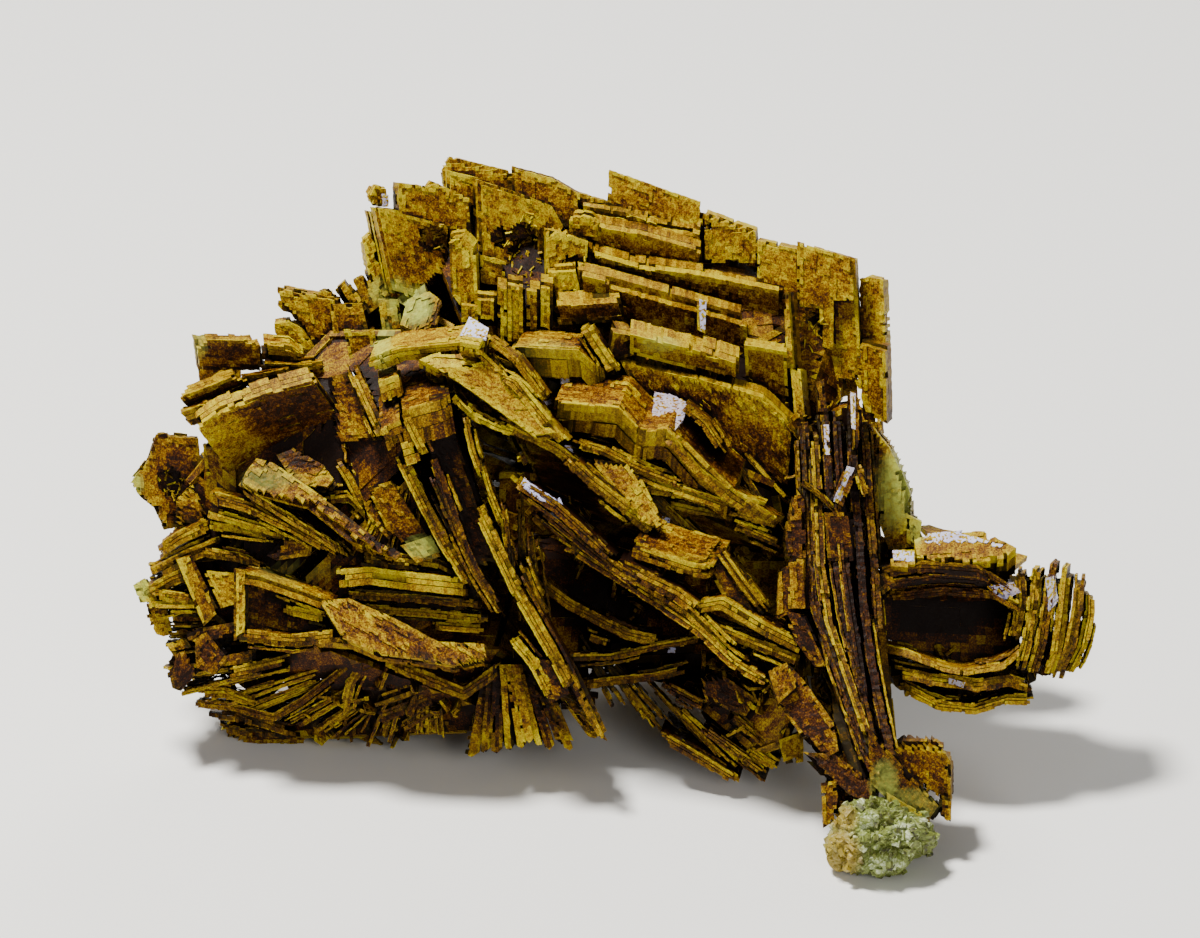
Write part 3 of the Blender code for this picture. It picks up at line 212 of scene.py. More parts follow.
# The upright column of thin parallel blades that runs down to the pale knob.
COLUMN = (
    Slab([(797, 420, 70), (800, 480, 80), (802, 540, 92), (806, 600, 104), (826, 660, 118), (846, 720, 134),
          (868, 780, 148)], (10, -1, 0), (-3, 0, -80)),
    Slab([(808, 432, 76), (812, 500, 88), (814, 560, 99), (822, 620, 114), (842, 680, 130), (862, 740, 145)],
         (9, 0, 0), (-3, 0, -80)),
    Slab([(818, 402, 70), (822, 470, 82), (826, 540, 94), (836, 610, 110), (852, 680, 128), (868, 750, 143)],
         (9, 0, 0), (-4, 0, -80)),
    Slab([(830, 408, 74), (834, 480, 88), (838, 560, 101), (846, 620, 115), (858, 700, 135)],
         (9, 0, 0), (-4, 0, -80)),
    Slab([(844, 405, 70), (846, 470, 82), (852, 540, 96), (856, 610, 110), (868, 690, 129), (884, 760, 147)],
         (10, 0, 0), (-4, 0, -80)),
    Slab([(858, 422, 66), (862, 500, 80), (868, 580, 92), (872, 640, 104)], (9, 0, 0), (-4, 0, -80)),
    Plate([(815, 382), (822, 380), (826, 412), (817, 412)], 68, (0.0, 0.0), 60),
    Slab([(849, 392, 84), (850, 450, 90)], (7, 0, 0), (-4, 0, -50)),
    Slab([(846, 467, 98), (830, 507, 104)], (8, 5, 0), (-2, 0, -50)),
    Slab([(798, 476, 96), (816, 490, 100), (832, 507, 104)], (3, 10, 0), (-2, 0, -50)),
    Slab([(852, 464, 98), (860, 497, 100)], (7, -2, 0), (-2, 0, -50)),
    Plate([(822, 512), (852, 512), (858, 560), (826, 560)], 98, (0.0, 0.0), 50),
    Plate([(794, 488), (802, 500), (804, 560), (787, 562), (783, 538)], 94, (0.2, 0.0), 60),
    Plate([(786, 558), (804, 558), (806, 607), (786, 607)], 106, (0.2, 0.0), 60),
    Plate([(777, 566), (790, 560), (792, 614), (775, 620)], 98, (0.2, 0.0), 50),
    Plate([(783, 610), (804, 613), (826, 664), (812, 664), (788, 632)], 110, (0.0, -0.1), 60),
    Plate([(776, 700), (770, 668), (784, 660), (800, 676), (830, 718), (836, 750), (822, 757), (800, 735)],
          124, (0.1, -0.1), 60),
    Plate([(766, 668), (784, 660), (796, 682), (776, 700)], 130, (0.0, -0.1), 60),
    Plate([(800, 748), (830, 750), (872, 778), (870, 801), (835, 784)], 130, (0.1, -0.1), 50),
    Plate([(818, 778), (836, 776), (832, 815), (820, 822)], 136, (0.0, -0.1), 40),
    Slab([(832, 655, 122), (856, 720, 138), (874, 775, 152)], (10, -2, 0), (0, 0, -60)),
    Slab([(858, 636, 106), (872, 695, 120)], (8, 0, 0), (0, 0, -60)),
    Slab([(866, 698, 122), (884, 724, 130)], (-3, 12, 0), (0, -6, -60)),
    Plate([(896, 742), (934, 742), (945, 757), (946, 798), (905, 778), (882, 752)], 140, (0.1, 0.2), 50),
    Plate([(864, 724), (885, 748), (938, 806), (930, 818), (885, 797), (866, 778)], 152, (0.0, 0.1), 50),
    Plate([(882, 788), (925, 813), (925, 828), (908, 824), (884, 812)], 156, (0.0, 0.1), 40),
    Plate([(934, 795), (946, 797), (946, 818), (936, 812)], 144, (0.0, 0.1), 24),
    Plate([(872, 428), (888, 448), (900, 473), (908, 494), (909, 520), (915, 546), (888, 550), (870, 500)],
          40, (0.1, 0.1), 60),
    Plate([(905, 514), (921, 522), (918, 541), (906, 546)], 36, (0.0, 0.1), 40),
)
# The rosette at the right: a stack of plates above a hollow, with curved pages on its right side.
ROSETTE = (
    Plate([(912, 538), (950, 531), (982, 531), (1013, 547), (1000, 558), (950, 562), (914, 556)],
          68, (0.0, -0.9), 60),
    Plate([(888, 549), (912, 549), (912, 567), (888, 565)], 84, (0.0, -0.4), 70),
    Slab([(874, 566, 82), (920, 560, 86), (975, 564, 86), (1014, 588, 80)], (0, 12, -4), (4, -10, -80)),
    Slab([(876, 580, 78), (930, 573, 82), (985, 577, 82), (1020, 600, 76)], (0, 11, -6), (3, -8, -75)),
    Slab([(885, 592, 68), (940, 585, 74), (990, 589, 74), (1020, 606, 68)], (0, 10, -8), (2, -6, -66)),
    Plate([(872, 575), (888, 570), (896, 582), (880, 594)], 80, (0.0, 0.0), 70),
    Slab([(985, 582, 88), (1021, 603, 82)], (-3, 10, 0), (3, -8, -60)),
    Slab([(1010, 566, 70), (1012, 600, 74), (1004, 640, 72)], (12, 0, 0), (6, -4, -70)),
    Slab([(1028, 562, 72), (1024, 600, 78), (1018, 640, 78), (1010, 672, 72)], (11, 0, 0), (8, -5, -70)),
    Slab([(1042, 563, 68), (1038, 600, 76), (1032, 640, 76), (1022, 676, 70)], (12, 1, 0), (9, -5, -68)),
    Slab([(1057, 567, 64), (1053, 605, 72), (1047, 650, 74), (1035, 684, 66)], (12, 1, 0), (8, -5, -64)),
    Slab([(1071, 574, 58), (1069, 605, 66), (1061, 645, 68), (1047, 680, 60)], (12, 1, 0), (4, -5, -58)),
    Slab([(1082, 584, 52), (1082, 612, 58), (1075, 645, 60), (1061, 674, 52)], (10, 2, 0), (0, -5, -52)),
    Slab([(874, 641, 70), (905, 648, 76), (940, 662, 82), (962, 666, 84), (1000, 660, 82), (1020, 643, 74)],
         (0, 9, 3), (0, -6, -74)),
    Slab([(890, 663, 70), (935, 672, 78), (975, 677, 82), (1005, 672, 80), (1028, 680, 72)],
         (0, 14, 2), (0, -8, -74)),
    Slab([(900, 680, 68), (934, 698, 76), (972, 702, 78), (1004, 692, 76), (1037, 693, 66)],
         (0, 11, -2), (0, -14, -70)),
)
# Large plates of the left fan, seen partly from below, and the tips that radiate above it.
LEFT_FAN = (
    Slab([(197, 430, 62), (225, 411, 66), (270, 394, 70), (328, 379, 72)], (36, 52, -60), (-6, -15, -14)),
    Slab([(194, 340, 20), (262, 341, 22)], (4, 36, -16), (-6, -12, -20)),
    Slab([(258, 344, 17), (290, 346, 18), (304, 356, 14)], (2, 18, -12), (-2, -12, -22)),
    Slab([(255, 362, 20), (300, 364, 22), (325, 362, 20)], (2, 12, -6), (0, -7, -30)),
    Slab([(178, 399, 40), (246, 373, 44)], (14, 18, -14), (-4, -8, -24)),
    Slab([(180, 414, 50), (216, 400, 50)], (14, 14, -12), (-3, -5, -24)),
    Slab([(240, 378, 36), (290, 369, 36)], (4, 12, -6), (-2, -5, -24)),
    Plate([(276, 288), (300, 293), (336, 299), (346, 350), (312, 352), (298, 326), (290, 315), (277, 301)],
          -12, (0.1, 0.2), 26),
    Plate([(274, 321), (285, 320), (300, 328), (318, 352), (290, 344), (275, 334)], 0, (0.0, 0.2), 30),
    Plate([(318, 292), (328, 289), (336, 298), (334, 318), (320, 312)], -18, (0.0, 0.1), 30),
    Plate([(336, 288), (345, 280), (368, 306), (356, 318)], -22, (0.0, 0.1), 34),
    Plate([(352, 280), (362, 276), (380, 304), (368, 314)], -26, (0.0, 0.1), 34),
    Plate([(366, 281), (374, 278), (386, 306), (376, 312)], -30, (0.0, 0.1), 34),
    Plate([(330, 305), (362, 305), (370, 338), (334, 338)], 2, (0.0, 0.1), 34),
    Plate([(344, 330), (374, 330), (380, 358), (350, 360)], 14, (0.0, 0.1), 34),
    Plate([(378, 300), (398, 300), (406, 348), (385, 352)], -4, (0.0, 0.1), 40),
    Plate([(401, 325), (408, 300), (430, 292), (443, 302), (438, 324), (418, 333)], 42, (0.0, -0.3), 60),
    Slab([(345, 366, 62), (382, 446, 74)], (13, -4, 0), (0, 0, -80)),
    Plate([(328, 378), (352, 372), (384, 440), (336, 442)], 46, (0.0, 0.0), 50),
    Plate([(156, 435), (172, 433), (198, 435), (203, 520), (178, 527), (163, 530), (154, 509), (141, 499),
           (130, 483), (141, 469), (148, 460), (152, 447)], -10, (-0.1, 0.1), 22),
    Plate([(176, 500), (193, 485), (207, 512), (204, 528), (176, 524)], 6, (0.0, 0.1), 26),
    Plate([(203, 442), (213, 445), (246, 477), (252, 494), (208, 492)], 12, (0.1, 0.3), 40),
)
# Crossing plates in the middle of the left side.
LEFT_MIDDLE = (
    Plate([(240, 478), (255, 457), (276, 463), (335, 503), (380, 537), (405, 549), (398, 556), (350, 537),
           (310, 505), (262, 493)], 72, (0.0, -0.3), 36),
    Slab([(242, 482, 68), (300, 518, 68), (345, 546, 62)], (4, 13, -4), (4, -4, -50)),
    Slab([(246, 493, 62), (304, 529, 62), (345, 553, 56)], (4, 9, -6), (4, -4, -50)),
    Plate([(278, 455), (295, 448), (325, 465), (337, 481), (330, 490), (296, 482)], 52, (0.1, -0.2), 36),
    Slab([(333, 462, 50), (346, 482, 48), (360, 512, 44)], (9, -4, 0), (0, 0, -50)),
    Slab([(326, 496, 54), (350, 493, 52), (370, 515, 46)], (0, 10, 0), (2, -4, -50)),
    Plate([(363, 498), (380, 503), (400, 532), (392, 542), (370, 518)], 46, (0.0, 0.0), 36),
    Plate([(368, 488), (398, 480), (442, 545), (420, 560), (392, 538)], 54, (0.1, 0.1), 40),
    Slab([(210, 490, 56), (250, 501, 60), (290, 520, 62), (335, 545, 56)], (-2, 11, -2), (4, -6, -50)),
    Slab([(207, 506, 48), (240, 515, 52), (285, 528, 54)], (-1, 12, -2), (4, -5, -50)),
    Slab([(208, 520, 42), (250, 526, 46), (300, 532, 46)], (0, 10, 0), (2, -4, -50)),
    Plate([(268, 555), (288, 538), (314, 541), (312, 555), (278, 560)], 48, (0.0, 0.0), 40),
    Slab([(288, 533, 52), (340, 546, 46)], (0, 8, 0), (0, -4, -50)),
    Slab([(200, 546, 32), (240, 552, 34), (266, 562, 34)], (0, 12, 0), (2, -4, -50)),
    Slab([(158, 546, 16), (178, 532, 20), (208, 518, 24)], (4, 13, -2), (-3, -5, -36)),
    Slab([(148, 570, 12), (185, 550, 18), (222, 536, 24)], (4, 13, -2), (-3, -5, -36)),
    Slab([(140, 590, 8), (170, 573, 14), (196, 563, 18)], (4, 13, -3), (-3, -5, -36)),
    Plate([(133, 585), (145, 578), (158, 600), (140, 603)], 4, (0.0, 0.0), 24),
    Slab([(146, 600, 12), (205, 600, 20)], (0, 9, 0), (0, -4, -40)),
    Slab([(153, 588, 18), (196, 594, 24)], (0, 12, -2), (0, -3, -40)),
    Plate([(146, 604), (166, 604), (172, 634), (158, 638), (150, 622)], -4, (0.0, 0.0), 24),
    Plate([(178, 560), (193, 556), (220, 611), (205, 626)], 34, (-0.1, 0.1), 36),
    Plate([(204, 570), (238, 573), (240, 602), (222, 608)], 26, (0.0, 0.0), 36),
)
# The crystal grown like a frame, with the large curved blade and thinner ones to its right.
FRAME_CRYSTAL = (
    Plate([(236, 568), (250, 570), (250, 632), (236, 640)], 66, (0.0, 0.0), 50),
    Slab([(236, 568, 64), (262, 573, 66), (300, 586, 66), (345, 603, 66)], (0, 13, 0), (6, -8, -50)),
    Slab([(236, 627, 64), (295, 633, 68), (348, 627, 70)], (0, 14, 0), (0, -4, -50)),
    Slab([(285, 603, 56), (330, 613, 58)], (0, 10, 0), (0, -3, -50)),
    Plate([(246, 578), (345, 602), (345, 638), (246, 634)], 38, (0.0, 0.0), 40),
    Plate([(322, 600), (350, 597), (395, 616), (440, 640), (487, 642), (490, 655), (456, 663), (420, 657),
           (380, 652), (345, 636)], 78, (0.0, -0.2), 44),
    Slab([(337, 570, 66), (370, 566, 70), (415, 572, 72), (472, 578, 70)], (0, 19, -2), (4, -8, -50)),
    Slab([(362, 555, 60), (420, 559, 64)], (0, 12, 0), (2, -4, -50)),
    Slab([(380, 549, 56), (440, 559, 60), (470, 574, 60)], (-1, 9, 0), (2, -4, -50)),
    Plate([(402, 545), (432, 535), (443, 555), (420, 565)], 66, (0.0, 0.0), 50),
    Slab([(340, 590, 54), (420, 594, 54), (484, 600, 52)], (0, 9, 0), (0, -4, -50)),
    Slab([(350, 603, 50), (430, 608, 50), (488, 614, 48)], (0, 9, 0), (0, -4, -50)),
    Slab([(430, 620, 54), (490, 624, 50)], (0, 9, 0), (0, -4, -50)),
)
# Plates and pointed blades along the lower left edge, down to the ground.
LOWER_LEFT = (
    Plate([(187, 634), (200, 628), (240, 621), (240, 634), (215, 642), (190, 641)], 22, (0.0, 0.0), 40),
    Plate([(166, 644), (185, 638), (194, 650), (172, 655)], 0, (0.0, 0.0), 30),
    Plate([(196, 638), (210, 630), (230, 655), (215, 674), (197, 667)], 24, (0.0, 0.0), 50),
    Plate([(168, 665), (172, 655), (190, 649), (200, 670), (180, 691), (172, 688)], 0, (0.0, 0.0), 40),
    Plate([(214, 655), (256, 646), (256, 662), (222, 666)], 18, (0.0, 0.0), 50),
    Slab([(224, 668, 24), (290, 653, 24)], (2, 12, 0), (0, -4, -60)),
    Slab([(190, 688, -30), (225, 687, -24), (256, 698, -18)], (0, 12, 0), (0, -4, -50)),
    Slab([(193, 700, -40), (225, 702, -34), (272, 714, -26), (300, 698, -18), (350, 660, -4)],
         (0, 9, 0), (0, -3, -60)),
    Slab([(206, 710, -56), (240, 714, -50), (296, 730, -44)], (0, 10, 0), (0, -3, -60)),
    Slab([(210, 723, -72), (245, 730, -70), (300, 730, -66)], (0, 10, 0), (0, -3, -60)),
    Plate([(226, 732), (232, 716), (306, 716), (308, 748), (275, 752), (240, 750)], -82, (0.0, 0.2), 60),
    Plate([(322, 688), (334, 690), (333, 735), (320, 748), (309, 741), (313, 712)], -40, (0.0, 0.5), 60),
    Plate([(340, 690), (354, 686), (348, 738), (336, 746), (332, 735)], -44, (0.0, 0.5), 50),
    Plate([(344, 714), (358, 712), (353, 743), (344, 748)], -52, (0.0, 0.5), 40),
    Plate([(360, 706), (371, 706), (368, 735), (361, 735)], -42, (0.0, 0.5), 50),
    Slab([(362, 656, -2), (345, 682, -10), (338, 714, -26)], (10, 4, 0), (0, 0, -50)),
    Plate([(360, 660), (394, 656), (400, 692), (362, 690)], -14, (0.0, 0.0), 50),
    Slab([(368, 698, -16), (434, 674, -8)], (5, 12, 0), (0, -4, -60)),
    Slab([(372, 714, -26), (440, 688, -14)], (5, 12, 0), (0, -4, -60)),
    Slab([(396, 724, -32), (442, 698, -20)], (4, 11, 0), (0, -4, -60)),
    Plate([(418, 700), (448, 698), (448, 730), (438, 737), (416, 724)], -30, (0.0, 0.2), 50),
    Slab([(383, 653, 14), (425, 670, 22), (464, 686, 28), (502, 660, 22)], (0, 14, 0), (0, -6, -60)),
)
# Blades of the small fan at the bottom: tips from left to right, the width of each and its depth.
FAN_HUB = ((488, 664), (542, 664))
FAN_TIPS = (
    (472, 757, 15, 8),
    (486, 752, 10, 14),
    (497, 753, 11, 20),
    (510, 750, 9, 26),
    (522, 748, 9, 30),
    (530, 742, 8, 34),
    (540, 746, 9, 30),
    (550, 749, 9, 26),
    (560, 742, 9, 22),
    (570, 750, 11, 18),
    (594, 738, 12, 40),
)
FAN_THICK = 44
# Plates that hang below the hollow between the fan and the column.
LOWER_MIDDLE = (
    Slab([(658, 728, 20), (700, 752, 24), (742, 778, 28)], (-3, 10, -3), (10, -24, -60)),
    Slab([(698, 719, 30), (745, 752, 34), (768, 769, 34)], (-3, 10, -3), (8, -18, -60)),
    Slab([(730, 709, 38), (772, 742, 40)], (-3, 10, 0), (6, -10, -60)),
    Slab([(750, 744, 42), (780, 764, 44)], (-4, 10, 0), (8, -12, -60)),
    Plate([(698, 678), (722, 674), (756, 698), (745, 715), (706, 700)], 44, (0.0, 0.0), 60),
    Slab([(663, 678, 28), (706, 701, 32)], (-3, 10, 0), (4, -6, -60)),
    Plate([(778, 738), (802, 730), (802, 760), (783, 763)], 64, (0.0, 0.0), 60),
)
# The pale knob: its outline in the picture, clockwise from the left.
KNOB_OUTLINE = [
    (828, 822), (823, 845), (829, 860), (842, 866), (862, 868), (878, 870), (895, 865), (907, 854),
    (925, 845), (932, 833), (926, 818), (905, 806), (885, 797), (862, 792), (842, 798),
]

# Pale green patches of the picture: middle, half width, half height and strength.
PALE_PATCHES = (
    (414, 306, 19, 20, 1.0),
    (398, 300, 12, 22, 0.7),
    (384, 345, 9, 26, 0.7),
    (378, 290, 10, 14, 0.6),
    (895, 490, 19, 40, 1.0),
    (914, 530, 9, 14, 0.9),
    (424, 546, 17, 11, 0.9),
    (135, 484, 8, 12, 0.7),
    (141, 590, 9, 13, 0.9),
    (880, 780, 14, 24, 0.55),
    (905, 800, 28, 16, 0.4),
    (270, 478, 30, 12, 0.3),
    (200, 345, 8, 14, 0.4),
    (545, 350, 30, 10, 0.2),
    (660, 345, 20, 8, 0.5),
    (300, 572, 40, 10, 0.25),
)
# Dark patches of the picture, likewise: faces darkened brown to black inside their rims, partly brown
# staining and partly painted shade of hollows and undersides.
STAIN_AND_SHADE_PATCHES = (
    (300, 405, 62, 36, 0.30),
    (330, 452, 62, 20, 0.42),
    (225, 345, 26, 14, 0.28),
    (255, 385, 26, 10, 0.2),
    (447, 425, 18, 40, 0.42),
    (440, 500, 16, 60, 0.35),
    (520, 255, 20, 36, 0.22),
    (436, 245, 18, 18, 0.18),
    (395, 540, 30, 10, 0.2),
    (280, 605, 24, 16, 0.30),
    (400, 600, 60, 12, 0.22),
    (250, 560, 60, 9, 0.25),
    (560, 520, 40, 60, 0.45),
    (620, 590, 70, 60, 0.45),
    (700, 690, 60, 50, 0.25),
    (640, 690, 40, 20, 0.4),
    (945, 603, 58, 34, 0.75),
    (470, 705, 60, 26, 0.22),
    (330, 700, 70, 26, 0.2),
    (220, 655, 40, 20, 0.15),
    (700, 385, 60, 30, 0.15),
    (760, 460, 30, 36, 0.22),
    (745, 300, 60, 26, 0.15),
    (640, 310, 60, 12, 0.15),
    (575, 345, 30, 8, 0.2),
    (838, 540, 26, 90, 0.2),
    (850, 640, 14, 60, 0.22),
    (690, 470, 50, 26, 0.18),
    (700, 550, 40, 16, 0.15),
    (180, 470, 16, 20, 0.2),
    (330, 695, 180, 48, 0.27),
    (560, 690, 110, 46, 0.27),
    (690, 705, 62, 60, 0.34),
    (745, 755, 34, 30, 0.2),
    (810, 290, 62, 60, 0.06),
    (840, 640, 50, 110, 0.08),
)
# Smooth facets with a painted glint, a lavender white painted reflection of the light: outline in the picture
# and how smooth and glinting each is.
SMOOTH_GLINT_FACETS = (
    ([(471, 318), (490, 330), (486, 347), (459, 343)], 1.0),
    ([(699, 300), (706, 302), (705, 331), (700, 332)], 1.0),
    ([(651, 391), (669, 394), (688, 403), (683, 419), (669, 438), (648, 425)], 0.55),
    ([(519, 476), (529, 477), (560, 497), (563, 504), (545, 500), (524, 485)], 1.0),
    ([(545, 506), (556, 510), (563, 520), (554, 519)], 0.9),
    ([(562, 445), (571, 446), (574, 453), (565, 453)], 0.9),
    ([(890, 549), (911, 551), (912, 563), (891, 562)], 1.0),
    ([(918, 541), (926, 533), (960, 530), (1008, 543), (1012, 549), (985, 545), (940, 545)], 0.9),
    ([(985, 582), (1010, 578), (1020, 590), (998, 600)], 0.45),
    ([(1043, 577), (1052, 575), (1055, 600), (1046, 610)], 0.8),
    ([(662, 516), (670, 518), (669, 525), (663, 524)], 0.9),
    ([(845, 466), (852, 468), (837, 504), (831, 501)], 0.8),
    ([(822, 425), (827, 425), (828, 455), (823, 455)], 0.7),
    ([(848, 392), (853, 394), (853, 430), (849, 428)], 0.7),
    ([(381, 193), (388, 194), (388, 206), (382, 206)], 0.8),
    ([(540, 402), (551, 399), (553, 404), (543, 407)], 0.6),
    ([(668, 647), (676, 648), (675, 653), (668, 653)], 0.8),
    ([(945, 676), (962, 681), (960, 686), (946, 682)], 0.7),
    ([(562, 377), (570, 380), (569, 386), (562, 384)], 0.5),
)
# Etched pits: middle, half width and half height.
PITS = (
    (436, 238, 22, 17),
    (524, 248, 17, 40),
    (500, 236, 10, 12),
    (575, 262, 16, 8),
    (170, 482, 15, 17),
    (812, 330, 15, 20),
    (709, 226, 5, 4),
)
# White patches on the knob: middle, half width and half height.
WHITE_PATCHES = (
    (898, 824, 16, 12),
    (880, 858, 24, 10),
    (862, 815, 14, 10),
)

# Colours of the crystals from dark to pale, where the dark end also carries the painted crevice shade, of the
# knob's crust from dark to white, and the rest.
GOLD_STOPS = (
    (0.02, (0.006, 0.0014, 0.0002)),
    (0.22, (0.050, 0.0115, 0.0002)),
    (0.38, (0.150, 0.055, 0.0003)),
    (0.54, (0.28, 0.160, 0.0004)),
    (0.74, (0.40, 0.300, 0.0006)),
    (1.0, (0.50, 0.43, 0.008)),
)
MATRIX_STOPS = (
    (0.14, (0.022, 0.020, 0.002)),
    (0.40, (0.085, 0.095, 0.008)),
    (0.70, (0.20, 0.25, 0.045)),
    (1.0, (0.62, 0.68, 0.46)),
)
SPECK_COLOUR = (0.012, 0.005, 0.001)
PALE_COLOUR = (0.38, 0.43, 0.07)
# Colour of the painted rim highlight.
RIM_HIGHLIGHT_COLOUR = (0.50, 0.43, 0.006)
# Colour of the painted glint, a painted reflection on smooth facets.
GLINT_COLOUR = (0.52, 0.53, 0.80)
OCHRE_COLOUR = (0.27, 0.18, 0.005)
FLOOR_COLOUR = (0.80, 0.80, 0.78)
# How fine the materials' noises are, per metre.
BROAD_SCALE = 150.0
PATCH_SCALE = 1300.0
FINE_SCALE = 4600.0
SPECK_SCALE = 6500.0
DOT_SCALE = 2700.0
BARITE_BUMP_SCALE = 6000.0
CRUST_SCALE = 1300.0
CRUST_BUMP_SCALE = 2400.0
# Lightness of the crystals, from 0 to 1: the usual one, what is added for the core and for the crowds (both
# are darker, as painted shade of recessed parts), what a face that looks up gains as painted light, and what
# a face towards the viewer and the middle of a face lose as painted shade.
BASE_TONE = 0.54
CORE_SHADE_TINT = -0.12
CROWD_SHADE_TINT = -0.06
UP_PAINTED_LIGHT = 0.01
FRONT_PAINTED_SHADE = 0.03
CENTRE_PAINTED_SHADE = 0.08
# Painted crevice shade: how much of a face's view is blocked where the painted shade starts, and where it is
# darkest.
OPEN = 0.2
SHUT = 0.75
# Ochre patches on the knob, with their strength, and the mouth of the rosette's hollow, which stays free of
# small plates.
OCHRE_PATCHES = (
    (836, 848, 20, 26, 1.0),
    (838, 812, 16, 14, 0.9),
)
HOLLOW_MOUTH = (945, 605, 62, 40, 1.0)
# Numbers of small crystals: plates on the core, loose blades on each back bundle, blades and crust plates on
# each foot, and grains on the knob.
DRUSE_COUNT = 620
BACK_BLADES = 6
FOOT_BLADES = 16
FOOT_CRUST = 64
KNOB_GRAINS = 260
# How far the bundle behind the rosette lies lower, so that it doesn't show above the rosette.
SIDE_DROP = 18
# Where a piece's crystals grow otherwise than the rest: how deep their notches go, how many layers they have
# at most, how light they are and how much that varies.
HABITS = {
    "upper_left_stack": {"ragged": 2.4, "tint": 0.12, "most_layers": 3},
    "stepped_rows": {"ragged": 2.6, "tint": 0.05, "most_layers": 2},
    "upper_bundle": {"ragged": 3.6, "spread": 0.14, "tint": 0.04},
    "rosette": {"ragged": 5.5, "tint": -0.05, "spread": 0.18},
    "column": {"ragged": 6.5, "tint": -0.12, "spread": 0.24},
    "steep_blades": {"ragged": 5.5, "tint": -0.02, "spread": 0.2},
    "lower_left": {"ragged": 5.0, "tint": -0.03, "spread": 0.16},
    "bottom_fan": {"ragged": 5.0, "tint": -0.03, "spread": 0.16},
}
# Plates that close the notches of the top edge.
TOP_EDGE = (
    Plate([(572, 189), (608, 200), (625, 208), (625, 232), (575, 228)], -62, (0.0, 0.12), 14),
    Plate([(680, 205), (704, 212), (735, 223), (740, 262), (680, 250)], -64, (0.05, 0.12), 10),
)
# Crowds of small plates behind the gaps, painted darker as shade: outline, depth and lean.
FILL = (
    ([(372, 215), (470, 215), (486, 385), (380, 385)], -62, (0.0, 0.3)),
    ([(495, 200), (610, 210), (700, 238), (700, 280), (500, 280)], -104, (0.0, 0.3)),
    ([(700, 236), (770, 254), (860, 284), (865, 400), (700, 370)], -84, (0.0, 0.2)),
    ([(285, 312), (400, 300), (400, 372), (285, 372)], -56, (0.0, 0.3)),
    ([(192, 355), (240, 350), (240, 425), (204, 420)], -46, (0.0, 0.2)),
    ([(166, 462), (235, 458), (235, 592), (170, 592)], -54, (0.0, 0.2)),
    ([(160, 590), (240, 590), (240, 690), (200, 690), (174, 640)], -50, (0.0, 0.3)),
    ([(236, 472), (390, 476), (390, 540), (236, 534)], -66, (0.0, 0.3)),
    ([(472, 600), (524, 600), (524, 656), (480, 656)], -50, (0.0, 0.3)),
    ([(262, 668), (322, 668), (326, 722), (266, 716)], -62, (0.0, 0.2)),
    ([(884, 532), (922, 538), (922, 566), (884, 566)], -20, (0.0, 0.2)),
    ([(555, 655), (600, 655), (600, 712), (560, 712)], -44, (0.0, 0.2)),
    ([(490, 470), (580, 470), (600, 580), (490, 590)], -70, (0.0, 0.2)),
    ([(850, 398), (882, 404), (890, 450), (890, 575), (850, 575)], -44, (0.0, 0.2)),
    ([(395, 455), (500, 455), (500, 530), (395, 530)], -92, (0.0, 0.2)),
    ([(822, 776), (864, 788), (862, 815), (828, 812)], 96, (0.0, 0.2)),
    ([(768, 460), (812, 460), (812, 520), (772, 520)], -10, (0.0, 0.2)),
    ([(808, 665), (842, 665), (852, 735), (816, 735)], 30, (0.0, 0.2)),
    ([(826, 735), (862, 742), (862, 778), (836, 776)], 50, (0.0, 0.2)),
)
# Fans of thin blades: hub, first tip and last tip (x, y, depth), number, longest blade and breadth.
FANS = (
    ((500, 630, 0), (168, 600, 0), (170, 690, -16), 26, 90, 34),
    ((480, 620, 0), (172, 690, -20), (345, 742, -50), 30, 110, 34),
    ((440, 540, 20), (150, 560, 0), (160, 620, -4), 16, 70, 30),
    ((430, 600, 10), (360, 742, -40), (460, 735, -30), 16, 70, 30),
    ((560, 600, -10), (610, 700, -10), (690, 735, 10), 18, 90, 30),
    ((610, 640, 0), (700, 742, 16), (765, 775, 36), 12, 90, 22),
    ((868, 760, 104), (800, 440, 30), (872, 410, 22), 26, 150, 24),
    ((862, 760, 110), (792, 540, 60), (806, 640, 76), 10, 90, 24),
    ((520, 380, 60), (520, 620, 20), (560, 640, 10), 10, 120, 26),
    ((440, 380, 60), (330, 560, 40), (440, 560, 50), 14, 90, 26),
    ((700, 400, 30), (790, 500, 20), (770, 560, 30), 12, 80, 26),
    ((560, 400, 50), (650, 500, 50), (760, 590, 50), 12, 110, 22),
)

# The camera's distance, and the point that the lamps aim at.
CAMERA_DISTANCE = 1.2
AIM = (0.0, 0.0, 0.03)
# The knob's rounding: how far it reaches towards the viewer and away, and its depth.
KNOB_CENTRE = (877, 828, 148)
KNOB_REACH = 44
KNOB_RINGS = 5
# The fine knob: its points around, its rings, and how far its grains stand out at most.
CRUST_AROUND = 150
CRUST_RINGS = 46
CRUST_LIFT = 3.2

